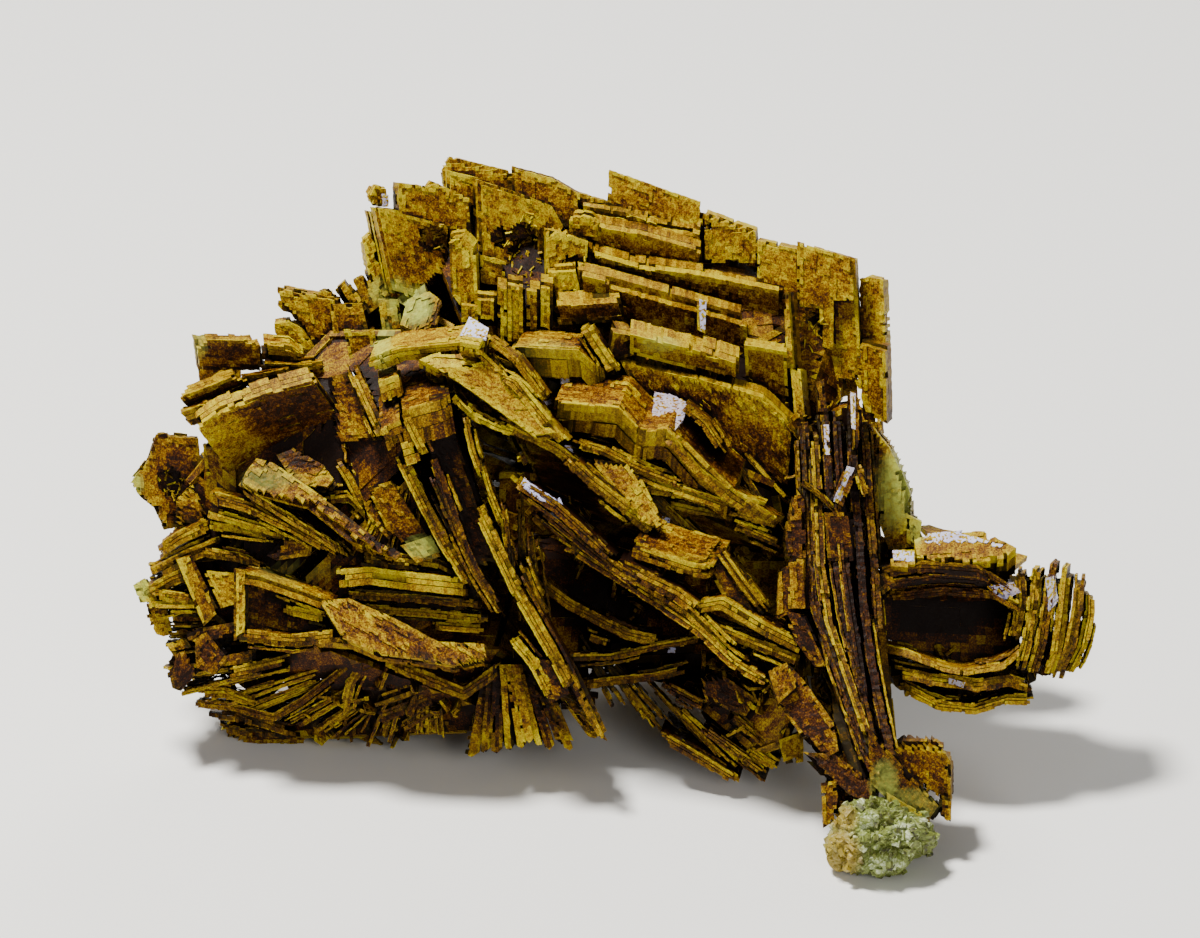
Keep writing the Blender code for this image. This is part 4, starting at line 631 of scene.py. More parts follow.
# The grown-together middle of the cluster. Each mass is the hull of two lists: picture points (x, y, depth),
# and points given as distance right of the middle, back, and up from the ground.
CORE_MASSES = (
    ([(405, 215, -48), (470, 190, -92), (600, 222, -84), (700, 248, -72), (845, 292, -58), (845, 395, -52),
      (790, 460, 0), (640, 400, 15), (450, 330, 15), (395, 300, -18)],
     [(-150, 372, 425), (150, 372, 405), (170, 350, 250), (-170, 350, 250)]),
    ([(235, 420, 10), (330, 330, -5), (420, 330, 20), (470, 420, 62), (480, 600, 45), (400, 640, 32),
      (240, 640, 16), (188, 600, -6), (185, 480, -8)],
     [(-240, 290, 280), (-190, 335, 200), (-270, 240, 120), (-150, 335, 110)]),
    ([(205, 660, -30), (300, 640, 6), (500, 650, 12), (572, 688, -4), (540, 730, -20), (300, 722, -70),
      (228, 712, -76)],
     [(-372, 142, 0), (-292, 140, 0), (-300, 215, 0), (-350, 210, 0), (-300, 200, 80), (-60, 290, 62),
      (-240, 270, 150), (-80, 310, 150)]),
    ([(480, 350, 52), (600, 400, 46), (680, 440, 36), (775, 480, 26), (795, 560, 0), (520, 430, 42),
      (560, 470, -10), (700, 500, -20)],
     [(-100, 340, 220), (160, 340, 220), (-40, 310, 120), (180, 310, 120)]),
    ([(545, 560, -50), (700, 560, -50), (535, 660, -28), (700, 690, -22), (785, 650, 14), (795, 560, 0)],
     [(-100, 340, 200), (170, 340, 200), (-60, 290, 80), (180, 290, 80)]),
    ([(800, 430, 36), (872, 432, 10), (862, 398, -40), (804, 600, 62), (866, 600, 48), (832, 720, 98),
      (880, 740, 98),
      (892, 785, 112), (856, 790, 116)],
     [(200, 310, 290), (235, 320, 240), (190, 290, 120), (235, 290, 120)]),
    ([(680, 690, -2), (785, 745, 42), (756, 756, 34), (700, 640, -25), (800, 640, 44), (730, 700, -60),
      (805, 700, 64)],
     []),
    ([(866, 568, 8), (1062, 578, 4), (1062, 668, 4), (1000, 698, 4), (900, 690, 4), (866, 640, 8),
      (866, 590, -70), (1000, 600, -56), (1020, 640, -52), (866, 660, -60)],
     []),
)

# Bundles of plates on the back and the two bundles that are its feet. Each is the point it grows from and the
# direction it stands out in, both as right, back and up, then its width, its reach, its plates and its turn.
BACK_BUNDLES = (
    ((-130, 345, 395), (-0.3, 0.8, 0.5), 120, 62, 3, 0.3),
    ((-15, 350, 400), (0.1, 0.8, 0.55), 140, 60, 3, -0.2),
    ((105, 346, 380), (0.3, 0.85, 0.4), 130, 62, 3, 0.5),
    ((-150, 335, 305), (-0.5, 0.85, 0.1), 120, 70, 3, 1.2),
    ((-40, 345, 312), (-0.1, 1.0, 0.1), 130, 66, 3, -0.7),
    ((75, 340, 300), (0.2, 1.0, 0.0), 130, 70, 3, 0.2),
    ((180, 310, 325), (0.75, 0.6, 0.2), 110, 60, 3, 0.9),
    ((-215, 290, 225), (-0.8, 0.55, 0.15), 120, 66, 3, -0.5),
    ((-110, 325, 215), (-0.3, 0.95, -0.05), 130, 76, 3, 0.4),
    ((10, 325, 210), (0.05, 1.0, -0.15), 130, 80, 3, 1.4),
    ((120, 320, 212), (0.3, 0.95, 0.0), 120, 76, 3, -0.4),
    ((208, 290, 225), (0.85, 0.5, 0.0), 110, 52, 3, 0.6),
    ((-275, 225, 115), (-0.9, 0.4, -0.1), 110, 60, 3, 0.2),
    ((-45, 280, 105), (0.0, 0.9, -0.4), 130, 80, 3, 0.9),
    ((75, 275, 100), (0.1, 0.9, -0.45), 120, 76, 3, -0.3),
    ((-205, 305, 110), (-0.12, 0.2, -1.0), 104, 150, 4, 0.25),
    ((198, 300, 105), (0.1, 0.15, -1.0), 92, 150, 4, -0.2),
    ((345, 215, 170), (0.1, 0.9, -0.2), 120, 44, 3, 0.1),
)
# The back plates' thickness, the step from one to the next, and the share of their reach that is buried.
BACK_PLATE_THICK = 18
BACK_PLATE_STEP = 25
BURIED = 0.45

# Fine structure, in picture points: the grid that crystals grow on, how far a grid point may wander on a face
# and along an edge, the grain of the faces, the blocks that notches are made of (their sizes are in cells),
# the thin outer skin, the grooves between layers, and how deep notches go.
CELL = 3.4
WANDER = 0.5
EDGE_WANDER = 0.22
GRAIN = 0.34
BLOCKS = ((2, 2), (4, 3), (9, 5))
LONG_BLOCKS = ((3, 1), (7, 1), (15, 2))
SKIN = 1.2
GROOVE = 0.8
RAGGED = 4.0
# Block noise above which an edge is worn, and the range over which the wear grows to its full depth.
WEAR_FROM = 0.54
WEAR_RANGE = 0.2

# The coarse grid for telling open faces from crevices, which get painted shade: its cell, its margin, how far
# off a face the view starts, the places along it that are looked at, how far away a hit would count for
# nothing, and how many directions are looked in.
LOOK_CELL = 3.5
LOOK_MARGIN = 60
LOOK_START = 5.5
LOOK_STEPS = (5, 10, 16, 23, 31, 40)
LOOK_FADE = 70
LOOK_WAYS = 26
GOLDEN_ANGLE = 2.399963

# What every face tells the materials.
VALUE_NAMES = ("rim_highlight", "tone", "painted_crevice_shade", "pale", "clean")

# The corners of a cell's side across each of the grid's three directions, in the order of a face.
SIDE_CORNERS = np.array([
    [(0, 0, 0), (0, 1, 0), (0, 1, 1), (0, 0, 1)],
    [(0, 0, 0), (0, 0, 1), (1, 0, 1), (1, 0, 0)],
    [(0, 0, 0), (1, 0, 0), (1, 1, 0), (0, 1, 0)],
])

# Lamps: place, size, power and colour of each. Then the light from all around.
LAMPS = {
    "key": ((-0.20, 0.02, 0.62), 0.14, 10.8, (1.0, 0.97, 0.92)),
    "front": ((0.30, -0.75, 0.40), 0.4, 2.2, (1.0, 0.97, 0.93)),
    "left": ((-0.7, -0.25, 0.25), 0.4, 1.2, (1.0, 1.0, 1.0)),
    "behind": ((0.25, 0.7, 0.5), 0.4, 3.0, (1.0, 1.0, 1.0)),
}
SKY_COLOUR = (1.0, 0.98, 0.95)
SKY_STRENGTH = 0.16
FLOOR_HALF = 3.0
FLOOR_ROUGHNESS = 0.7
SENSOR_WIDTH = 36

# Seeds of the random draws.
CRYSTAL_SEED = 17
KNOB_SEED = 23


def rotate(vectors):
    """Picture vectors (right, down, depth) as vectors of the specimen, in picture units."""
    vectors = np.asarray(vectors, float)
    right, down, depth = vectors[..., 0], vectors[..., 1], vectors[..., 2]
    back = -down * sin(VIEW_TILT) - depth * cos(VIEW_TILT)
    height = -down * cos(VIEW_TILT) + depth * sin(VIEW_TILT)
    return np.stack([right, back, height], -1)


ORIGIN = np.array([-MIDDLE_X, BASE_Y * sin(VIEW_TILT), BASE_Y * cos(VIEW_TILT) - FLOOR])


def place(points):
    """Picture points (x, y, depth) as points of the specimen, in picture units and not yet centred."""
    return rotate(points) + ORIGIN


def picture(points):
    """The way back: points of the specimen as picture points (x, y, depth)."""
    points = np.asarray(points, float) - ORIGIN
    right, back, height = points[..., 0], points[..., 1], points[..., 2]
    down = -back * sin(VIEW_TILT) - height * cos(VIEW_TILT)
    depth = -back * cos(VIEW_TILT) + height * sin(VIEW_TILT)
    return np.stack([right, down, depth], -1)


def knob_ring_points(outline, rings):
    """The rounded lump of the knob: its outline in the middle, shrinking towards front and back."""
    centre_x, centre_y, centre_depth = KNOB_CENTRE
    out = np.array(outline, float) - (centre_x, centre_y)
    angle = pi * np.arange(1, 2 * rings) / (2 * rings)
    size = np.sin(angle) ** 0.8
    points = np.empty((len(angle), len(out), 3))
    points[..., :2] = size[:, None, None] * out + (centre_x, centre_y)
    points[..., 2] = centre_depth + KNOB_REACH * np.cos(angle)[:, None]
    return place(points)


def shift_to_frame():
    """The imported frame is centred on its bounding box, so the knob says how far everything moved."""
    low = knob_ring_points(KNOB_OUTLINE, KNOB_RINGS).reshape(-1, 3).min(0) * UNIT
    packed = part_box("matrix_knob")[0]
    return np.array([packed[0] - low[0], packed[1] - low[1], 0.0])


SHIFT = shift_to_frame()


def unit(vector):
    """The same direction, one long."""
    return vector / np.linalg.norm(vector)


def marks_along(line):
    """How far each point of a line lies from its start, along the line."""
    return np.concatenate([[0], np.cumsum(np.linalg.norm(np.diff(line, axis=0), axis=1))])


def points_along(line, marks, spots):
    """Points at the given distances from a line's start."""
    return np.stack([np.interp(spots, marks, line[:, axis]) for axis in range(3)], -1)


class Store:
    """Collects corners, faces and face values (painted rim highlight, tone, lies flat, smoothness and painted
    glint) until they become one object.
    """

    def __init__(self):
        self.corners = []
        self.faces = []
        self.values = []
        self.count = 0

    def add(self, corners, faces, values):
        self.corners.append(corners)
        self.faces.append(faces + self.count)
        self.values.append(values)
        self.count += len(corners)


def hull_body(points):
    """The convex hull of some points as a bmesh."""
    body = bmesh.new()
    for point in points:
        body.verts.new(point)
    bmesh.ops.convex_hull(body, input=body.verts)
    return body


def hull_planes(points):
    """Outward planes of the convex hull of some points."""
    body = hull_body(points)
    bmesh.ops.recalc_face_normals(body, faces=body.faces)
    planes = np.array([(*face.normal, face.normal.dot(face.verts[0].co)) for face in body.faces])
    body.free()
    return planes


def core_points():
    """The points of each mass of the core, as points of the specimen."""
    masses = []
    for near, behind in CORE_MASSES:
        points = place(near)
        masses.append(np.vstack([points, np.array(behind, float)]) if behind else points)
    return masses


CORE_PLANES = [hull_planes(points) for points in core_points()]


def depth_in_core(points):
    """How deep each point lies in the core, in picture units; below 0 outside."""
    best = np.full(len(points), -1e9)
    for planes in CORE_PLANES:
        inside = (planes[:, 3] - points @ planes[:, :3].T).min(1)
        best = np.maximum(best, inside)
    return best


def edge_axes(outline):
    """Two directions of the crystal's own edges: its longest edge and the longest one that crosses it."""
    edges = np.roll(outline, -1, 0) - outline
    lengths = np.hypot(edges[:, 0], edges[:, 1])
    order = np.argsort(-lengths)
    first = edges[order[0]] / lengths[order[0]]
    for i in order[1:]:
        other = edges[i] / max(lengths[i], 1e-9)
        if abs(first[0] * other[1] - first[1] * other[0]) > 0.7:
            return first, other
    return first, np.array([-first[1], first[0]])


def is_inside(points, outline):
    """For each point: is it inside the outline."""
    step = np.roll(outline, -1, 0) - outline
    x, y = points[:, :1], points[:, 1:]
    y0, y1 = outline[None, :, 1], outline[None, :, 1] + step[None, :, 1]
    crosses = (y0 > y) != (y1 > y)
    meet = outline[None, :, 0] + (y - y0) / np.where(y1 == y0, 1e-9, y1 - y0) * step[None, :, 0]
    return (crosses & (x < meet)).sum(1) % 2 == 1


def nearest_on(points, outline):
    """For each point: the nearest place on the outline, and its distance to every edge."""
    step = np.roll(outline, -1, 0) - outline
    away = points[:, None, :] - outline[None]
    share = np.clip((away * step).sum(-1) / np.maximum((step**2).sum(-1), 1e-9), 0, 1)
    spots = outline[None] + share[..., None] * step
    gaps = np.sqrt(((points[:, None, :] - spots) ** 2).sum(-1))
    best = gaps.argmin(1)
    return spots[np.arange(len(points)), best], gaps


def blocky(chance, shape, scales=BLOCKS):
    """Noise from 0 to 1 made of rectangular blocks of several sizes."""
    total = np.zeros(shape)
    for wide, high in scales:
        coarse = chance.random((shape[0] // wide + 2, shape[1] // high + 2))
        off = chance.integers(0, wide), chance.integers(0, high)
        rows = (np.arange(shape[0]) + off[0]) // wide
        columns = (np.arange(shape[1]) + off[1]) // high
        total += coarse[rows][:, columns]
    return total / len(scales)


def layer_plan(thickness, wanted):
    """Layer boundaries across the thickness, thinner towards the front, and the kind of each layer."""
    skin = min(SKIN, thickness * 0.2)
    shares = np.linspace(1.0, 1.9, wanted)
    shares /= shares.sum()
    walls = [0.0, skin]
    kinds = ["skin"]
    start = skin
    body = thickness - 2 * skin
    for i in range(wanted):
        if i:
            walls.append(start + min(GROOVE, body * 0.2))
            kinds.append("groove")
        start += body * shares[i]
        walls.append(start)
        kinds.append("layer")
    walls.append(thickness)
    kinds.append("skin")
    return np.array(walls) / thickness, kinds


def open_sides(keep):
    """The sides of kept cells that no kept cell covers: their corners as numbers of the grid's points,
    whether they lie flat in a layer, their cell's number within a layer, and their layer."""
    strides = np.array([(keep.shape[1] + 1) * (keep.shape[2] + 1), keep.shape[2] + 1, 1])
    padded = np.pad(keep, 1)
    quads, is_face, cells, layer_of = [], [], [], []
    for axis in range(3):
        for side in (0, 1):
            step = [0, 0, 0]
            step[axis] = 1 if side else -1
            beside = padded[tuple(slice(1 + move, 1 + move + count) for move, count in zip(step, keep.shape))]
            found = np.argwhere(keep & ~beside)
            first = found @ strides + side * strides[axis]
            four = first[:, None] + SIDE_CORNERS[axis] @ strides
            quads.append(four if side else four[:, ::-1])
            is_face.append(np.full(len(found), float(axis == 2)))
            cells.append(found[:, 0] * keep.shape[1] + found[:, 1])
            layer_of.append(found[:, 2])
    return np.vstack(quads), np.concatenate(is_face), np.concatenate(cells), np.concatenate(layer_of)


def grow(store, outline, to_body, thick, chance, layers=3, ragged=RAGGED, cover=0.3, axes=None, clean=0.0,
         pitted=None, tint=0.0, size=CELL, deepest=3.0, blocks=BLOCKS, ends=None, spread=0.1):
    """One crystal: cells of a skewed grid inside its outline, layer on layer, each layer stepped and notched.

    to_body turns plane points into specimen points, and thick is the vector through the crystal. cover is how
    much of a face its skin covers, ends is how much each edge may be short, and faces that lie deeper in the
    core than deepest are left out.
    """
    outline = np.asarray(outline, float)
    grid = np.array(edge_axes(outline) if axes is None else axes)
    flat = (outline - outline[0]) @ np.linalg.inv(grid)
    low = flat.min(0)
    count = np.maximum(np.round((flat.max(0) - low) / size).astype(int), 1)
    cell = (flat.max(0) - low) / count
    i, j = np.meshgrid(np.arange(count[0] + 1), np.arange(count[1] + 1), indexing="ij")
    knots = (np.stack([i, j], -1) * cell + low) @ grid + outline[0]
    middle = ((knots[:-1, :-1] + knots[1:, 1:]) / 2).reshape(-1, 2)
    n0, n1 = count
    inside = is_inside(middle, outline).reshape(n0, n1)
    if not inside.any():
        return
    gaps = nearest_on(middle, outline)[1]
    distance = gaps.min(1).reshape(n0, n1)
    gaps = gaps.reshape(n0, n1, -1)
    room = distance[inside].max()
    ragged = min(ragged, 0.55 * room)

    # Grid points along the border move onto the outline, so that straight edges stay straight.
    ring = np.pad(inside, 1).astype(int)
    around = ring[:-1, :-1] + ring[1:, :-1] + ring[:-1, 1:] + ring[1:, 1:]
    border = (around > 0) & (around < 4)
    knots[border] = nearest_on(knots[border], outline)[0]
    where = np.argwhere(border)
    for point in outline:
        row, column = where[np.argmin(((knots[border] - point) ** 2).sum(1))]
        knots[row, column] = point
    stray = chance.uniform(-1, 1, (n0 + 1, n1 + 1, 2)) * np.where(border, EDGE_WANDER, WANDER)[..., None]

    thickness = float(np.linalg.norm(thick))
    walls, kinds = layer_plan(thickness, layers)
    shared = blocky(chance, (n0, n1), blocks)
    keep = np.zeros((n0, n1, len(kinds)), bool)
    edges = len(outline)
    for k, kind in enumerate(kinds):
        if kind == "groove":
            continue
        mixed = 0.5 * shared + 0.5 * blocky(chance, (n0, n1), blocks)
        wear = ragged * np.clip((mixed - WEAR_FROM) / WEAR_RANGE, 0, 1)
        inset = (chance.random(edges) < 0.3) * chance.uniform(0.7, 1.7, edges) * min(size, 0.3 * room)
        if ends is not None:
            inset = np.maximum(inset, ends * chance.random(edges) ** 1.5)
        solid = inside & (distance >= wear) & (gaps > inset).all(-1)
        if kind == "skin":
            patch = blocky(chance, (n0, n1), ((3, 2), (7, 6)))
            band = 2.2 + 9.0 * np.clip(blocky(chance, (n0, n1)) - 0.3, 0, 1)
            solid &= (distance < band) | (patch > 1 - cover)
        if pitted is not None and k <= 3:
            solid &= ~(pitted(middle).reshape(n0, n1) > 0.35 + 0.6 * shared + 0.07 * k)
        keep[..., k] = solid
    for k, kind in enumerate(kinds):
        if kind == "groove":
            keep[..., k] = keep[..., k - 1] & keep[..., k + 1] & (distance > 1.1 * size + 4 * (shared > 0.6))
    keep[..., 0] &= keep[..., 1]
    keep[..., -1] &= keep[..., -2]
    if not keep.any():
        return
    n2 = len(kinds)
    quads, is_face, cells, layer_of = open_sides(keep)
    probe = to_body(np.array([outline[0], outline[0] + grid[0], outline[0] + grid[1]]))
    if np.dot(np.cross(probe[1] - probe[0], probe[2] - probe[0]), thick) < 0:
        quads = quads[:, ::-1]
    used, quads = np.unique(quads, return_inverse=True)
    quads = quads.reshape(-1, 4)
    c = used % (n2 + 1)
    b = used // (n2 + 1) % (n1 + 1)
    a = used // (n2 + 1) // (n1 + 1)
    own = chance.uniform(-1, 1, (len(used), 2)) * np.where(border[a, b], EDGE_WANDER, 0.3)[:, None]
    bumps = chance.uniform(-GRAIN, GRAIN, (n0 + 1, n1 + 1))[a, b]
    lift = np.where((c <= 1) | (c >= n2 - 1), bumps, 0.2 * bumps)
    corners = to_body(knots[a, b] + stray[a, b] + own) + walls[c][:, None] * thick
    corners += lift[:, None] * thick / thickness
    outside = depth_in_core(corners[quads].mean(1)) < deepest
    if not outside.any():
        return
    quads, is_face, cells, layer_of = quads[outside], is_face[outside], cells[outside], layer_of[outside]
    edge = 0.62 * np.exp(-distance.reshape(-1)[cells] / 2.8)
    skin = np.isin(layer_of, [0, n2 - 1])
    pit = is_face * (layer_of > 1) * (layer_of < n2 - 2)
    behind = layer_of / n2
    # Painted highlight: pale rims along the edges of faces and on the walls, fainter further back.
    rim_highlight = np.where(is_face > 0, edge, (0.15 + 0.5 * chance.random(n2)[layer_of]) * (1 - 0.6 * behind))
    tone = BASE_TONE + tint + spread * chance.uniform(-1, 1) + 0.08 * chance.uniform(-1, 1, n2)[layer_of]
    tone += 0.10 * chance.uniform(-1, 1, len(quads)) + np.where(skin, 0.07, -0.05) - 0.22 * pit
    # Painted shade: the middle of a face and the walls of layers further back are darker.
    tone -= CENTRE_PAINTED_SHADE * is_face * (1 - edge) + 0.14 * (1 - is_face) * behind
    tone += 0.35 * (shared.reshape(-1)[cells] - 0.5)
    store.add(corners, quads, np.stack([rim_highlight, tone, is_face, np.full(len(quads), clean)], -1))


def grow_plate(store, plate, chance, **options):
    """A flat crystal."""
    outline = np.array(plate.outline, float)
    lean_right, lean_up = plate.lean
    origin = place([outline[0][0], outline[0][1], plate.depth])
    along_x = rotate([1, 0, lean_right])
    along_y = rotate([0, 1, -lean_up])
    sink = plate.thick / (lean_right**2 + lean_up**2 + 1) ** 0.5
    thick = rotate([lean_right * sink, -lean_up * sink, -sink])

    def to_body(points):
        off = points - outline[0]
        return origin + off[:, :1] * along_x + off[:, 1:] * along_y

    grow(store, outline, to_body, thick, chance, pitted=pit_depth, **options)


def pit_depth(points):
    """How strongly each picture point is etched: 1 in the middle of a pit, 0 outside."""
    total = np.zeros(len(points))
    for x, y, wide, high in PITS:
        total = np.maximum(total, blob(points, x, y, wide, high))
    return total


def grow_slab(store, slab, chance, **options):
    """A long crystal lies in the plane of its ridge and the longer of its two vectors. The other vector is
    its thickness."""
    ridge = np.array(slab.ridge, float)
    face = np.array(slab.face, float)
    back = np.array(slab.back, float)
    wide, thin = (back, face) if np.linalg.norm(back) > np.linalg.norm(face) else (face, back)
    marks = marks_along(ridge)
    total = marks[-1]
    breadth = float(np.linalg.norm(wide))
    direction = wide / breadth
    taper = min(8.0, total * 0.15)
    outline = [(0, taper * 0.6), (taper, 0), (total - taper, 0), (total, taper * 0.8), (total, breadth),
               (0, breadth)]

    def to_body(points):
        return place(points_along(ridge, marks, points[:, 0]) + points[:, 1:] * direction)

    axes = (np.array([1.0, 0.0]), np.array([0.0, 1.0]))
    short = min(0.18 * total, 15)
    ends = np.array([short * 0.5, 1.5, short * 0.5, short, 0.25 * breadth, short])
    grow(store, outline, to_body, rotate(thin), chance, axes=axes, ends=ends, blocks=LONG_BLOCKS, **options)


def layers_for(thickness):
    """How many layers a flat crystal has."""
    return int(np.clip(round(thickness / 5.5), 1, 4))


def grow_all(store, crystals, chance, companions=1, most_layers=4, **options):
    """Each crystal of a group, with thinner crystals parallel to it, unless it is a thick block."""
    for crystal in crystals:
        if isinstance(crystal, Plate):
            grow_plate(store, crystal, chance, layers=min(layers_for(crystal.thick), most_layers), **options)
            for _ in range(companions):
                grow_plate(store, beside_plate(crystal, chance), chance, layers=1, **options)
        else:
            thin = min(np.linalg.norm(crystal.face), np.linalg.norm(crystal.back))
            layers = int(np.clip(round(thin / 4), 1, min(3, most_layers)))
            grow_slab(store, crystal, chance, layers=layers, **options)
            for _ in range(companions if thin < 15 else 0):
                grow_slab(store, beside_slab(crystal, chance), chance, layers=1, **options)


def beside_plate(plate, chance):
    """A smaller plate that leans on a plate from behind."""
    middle = np.mean(plate.outline, 0)
    size = chance.uniform(0.75, 0.98)
    move = chance.uniform(-5, 5, 2)
    outline = [tuple(middle + (np.array(point) - middle) * size + move) for point in plate.outline]
    first_x, first_y = outline[0]
    old_x, old_y = plate.outline[0]
    lean_right, lean_up = plate.lean
    depth = plate.depth + lean_right * (first_x - old_x) + lean_up * (old_y - first_y)
    return Plate(outline, depth - chance.uniform(3, 8) - 0.5 * plate.thick, plate.lean, 5.0)


def beside_slab(slab, chance):
    """A shorter blade that runs parallel to a blade, just above or below it."""
    ridge = np.array(slab.ridge, float)
    face = np.array(slab.face, float)
    back = np.array(slab.back, float)
    start, end = sorted(chance.uniform(0.0, 1.0, 2))
    if end - start < 0.35:
        start, end = max(0.0, start - 0.2), min(1.0, end + 0.25)
    marks = marks_along(ridge)
    run = points_along(ridge, marks, np.linspace(start, end, 4) * marks[-1])
    small_face = np.linalg.norm(face) < np.linalg.norm(back)
    thin = face if small_face else back
    side = chance.choice([-0.35, 1.15])
    run = run + thin * side + np.array([0, 0, chance.uniform(-7, -1)])
    short = unit(thin) * 3.4
    face, back = (short, back * 0.8) if small_face else (face * 0.8, short)
    return Slab([tuple(point) for point in run], tuple(face), tuple(back))


def small_prisms():
    """The upright prisms as plates."""
    prisms = []
    for left, right, top, bottom, depth in SMALL_PRISMS:
        outline = [(left, top), (right, top + 2), (right, bottom), (left, bottom)]
        prisms.append(Plate(outline, depth, PRISM_LEAN, PRISM_THICK))
    return prisms


def bottom_fan():
    """Blades from one hub to tips spread along the bottom edge."""
    blades = []
    (left_x, left_y), (right_x, right_y) = FAN_HUB
    for i, (x, y, width, depth) in enumerate(FAN_TIPS):
        share = i / (len(FAN_TIPS) - 1)
        hub_x = left_x + share * (right_x - left_x)
        hub_y = left_y + share * (right_y - left_y)
        outline = [
            (hub_x - width / 2, hub_y),
            (hub_x + width / 2, hub_y),
            (x + width / 2, y - 5),
            (x, y),
            (x - width / 2, y - 3),
        ]
        blades.append(Plate(outline, depth, (0.0, 0.0), FAN_THICK))
    return blades


def grow_back(store, chance):
    """The bundles on the back: each plate of the solid as two thinner ones, with loose blades among them."""
    for root, direction, width, reach, plates, turn in BACK_BUNDLES:
        outward = unit(np.array(direction))
        sideways = unit(np.cross(outward, (0.05, 0.1, 1)))
        upright = np.cross(outward, sideways)
        across = sideways * cos(turn) + upright * sin(turn)
        normal = np.cross(outward, across)
        half_stack = plates * BACK_PLATE_STEP / 2
        root = np.array(root, float)
        if outward[2] < -0.8:
            grow_foot(store, chance, root, outward, across, normal, width, reach, half_stack)
            continue
        behind_rosette = root[0] > 300
        if behind_rosette:
            root[2] -= SIDE_DROP
        for i in range(plates):
            shift = (i - (plates - 1) / 2) * BACK_PLATE_STEP
            first = BACK_PLATE_THICK * chance.uniform(0.4, 0.7)
            second = (BACK_PLATE_THICK - first) * 0.8
            for thick, offset in ((first, 0.0), (second, BACK_PLATE_THICK - second)):
                length = reach * chance.uniform(0.72, 1.0)
                half = width / 2 * chance.uniform(0.6, 1.05)
                slide = chance.uniform(-0.2, 0.2) * width
                way = unit(outward + normal * (0.1 * shift / half_stack + chance.uniform(-0.05, 0.05)))
                outline = [
                    (-BURIED * length, -0.7 * half),
                    (chance.uniform(0.4, 0.8) * length, -half),
                    (length, half * chance.uniform(-0.8, 0.6)),
                    (chance.uniform(0.5, 0.9) * length, half),
                    (-BURIED * length, 0.8 * half),
                ]
                start = root + across * slide + normal * (shift - BACK_PLATE_THICK / 2 + offset)
                grow_flat(store, outline, start, way, across, np.cross(way, across) * thick, chance,
                          layers=1, size=6.2, spread=0.16)
        for _ in range(0 if behind_rosette else BACK_BLADES):
            way = unit(outward + chance.uniform(-0.45, 0.45) * normal + chance.uniform(-0.3, 0.3) * across)
            side = unit(np.cross(normal + chance.uniform(-0.5, 0.5) * across, way))
            flat = np.cross(way, side)
            spread = chance.uniform(-0.5, 0.5, 2)
            start = root + across * spread[0] * width + normal * spread[1] * 2.2 * half_stack
            length = reach * chance.uniform(0.5, 0.86)
            half = chance.uniform(10, 30)
            outline = [(0, -half), (0.6 * length, -half), (length, half * chance.uniform(-0.6, 0.5)),
                       (0.75 * length, half), (0, half)]
            grow_flat(store, outline, start, way, side, flat * chance.uniform(3.5, 8), chance,
                      layers=1, size=5.2, spread=0.16)


def grow_foot(store, chance, root, down, across, normal, width, reach, half_stack):
    """A bundle that stands on the ground: rows of narrow upright blades of many lengths, more blades around
    them, and a crust of small plates on its sides."""
    for row in np.linspace(-0.86, 0.62, 5):
        edges = np.linspace(-0.5, 0.5, 4) + chance.uniform(-0.07, 0.07, 4)
        for left, right in zip(edges[:-1], edges[1:]):
            length = reach * chance.uniform(0.7, 1.02)
            breadth = (right - left) * width
            slant = chance.uniform(-0.35, 0.35) * breadth
            outline = [
                (-BURIED * length, 0),
                (length - max(slant, 0), 0),
                (length + min(slant, 0), breadth),
                (-BURIED * length, breadth),
            ]
            start = root + across * left * width + normal * (row + chance.uniform(-0.1, 0.1)) * half_stack
            thick = normal * chance.uniform(0.26, 0.4) * half_stack
            grow_flat(store, outline, start, down, across, thick, chance, layers=1, size=5.0, spread=0.2)
    for _ in range(FOOT_BLADES):
        turn = chance.uniform(0, 2 * pi)
        out = across * cos(turn) * 0.5 * width + normal * sin(turn) * half_stack
        way = unit(down + 0.22 * out / np.linalg.norm(out) * chance.uniform(-0.4, 1))
        side = unit(np.cross(way, out))
        length = reach * chance.uniform(0.45, 0.9)
        half = chance.uniform(4, 13)
        outline = [
            (-BURIED * length, -half),
            (0.8 * length, -half),
            (length, half * chance.uniform(-0.8, 0.8)),
            (0.7 * length, half),
            (-BURIED * length, half),
        ]
        start = root + out * chance.uniform(0.75, 1.0)
        grow_flat(store, outline, start, way, side, np.cross(way, side) * 4.0, chance, layers=1, size=4.6,
                  spread=0.2)
    for _ in range(FOOT_CRUST):
        turn = chance.uniform(0, 2 * pi)
        share = chance.uniform(-0.15, 0.86)
        face = chance.choice([-1, 1])
        if chance.random() < 0.7:
            spot = across * chance.uniform(-0.5, 0.5) * width + normal * face * half_stack
            out = normal * face
        else:
            spot = across * face * 0.5 * width + normal * chance.uniform(-1, 1) * half_stack
            out = across * face
        way = unit(out + down * chance.uniform(0.4, 1.6) + 0.5 * (across * cos(turn) + normal * sin(turn)))
        side = unit(np.cross(way, chance.normal(0, 1, 3)))
        length, half = chance.uniform(12, 34), chance.uniform(6, 18)
        outline = [(-8, -half), (0.6 * length, -half), (length, half * chance.uniform(-0.7, 0.7)), (-8, half)]
        start = root + spot + down * share * reach
        if (start + way * length)[2] - half * abs(side[2]) > 0:
            grow_flat(store, outline, start, way, side, np.cross(way, side) * 4.0, chance, layers=1, size=5.0,
                      spread=0.2)


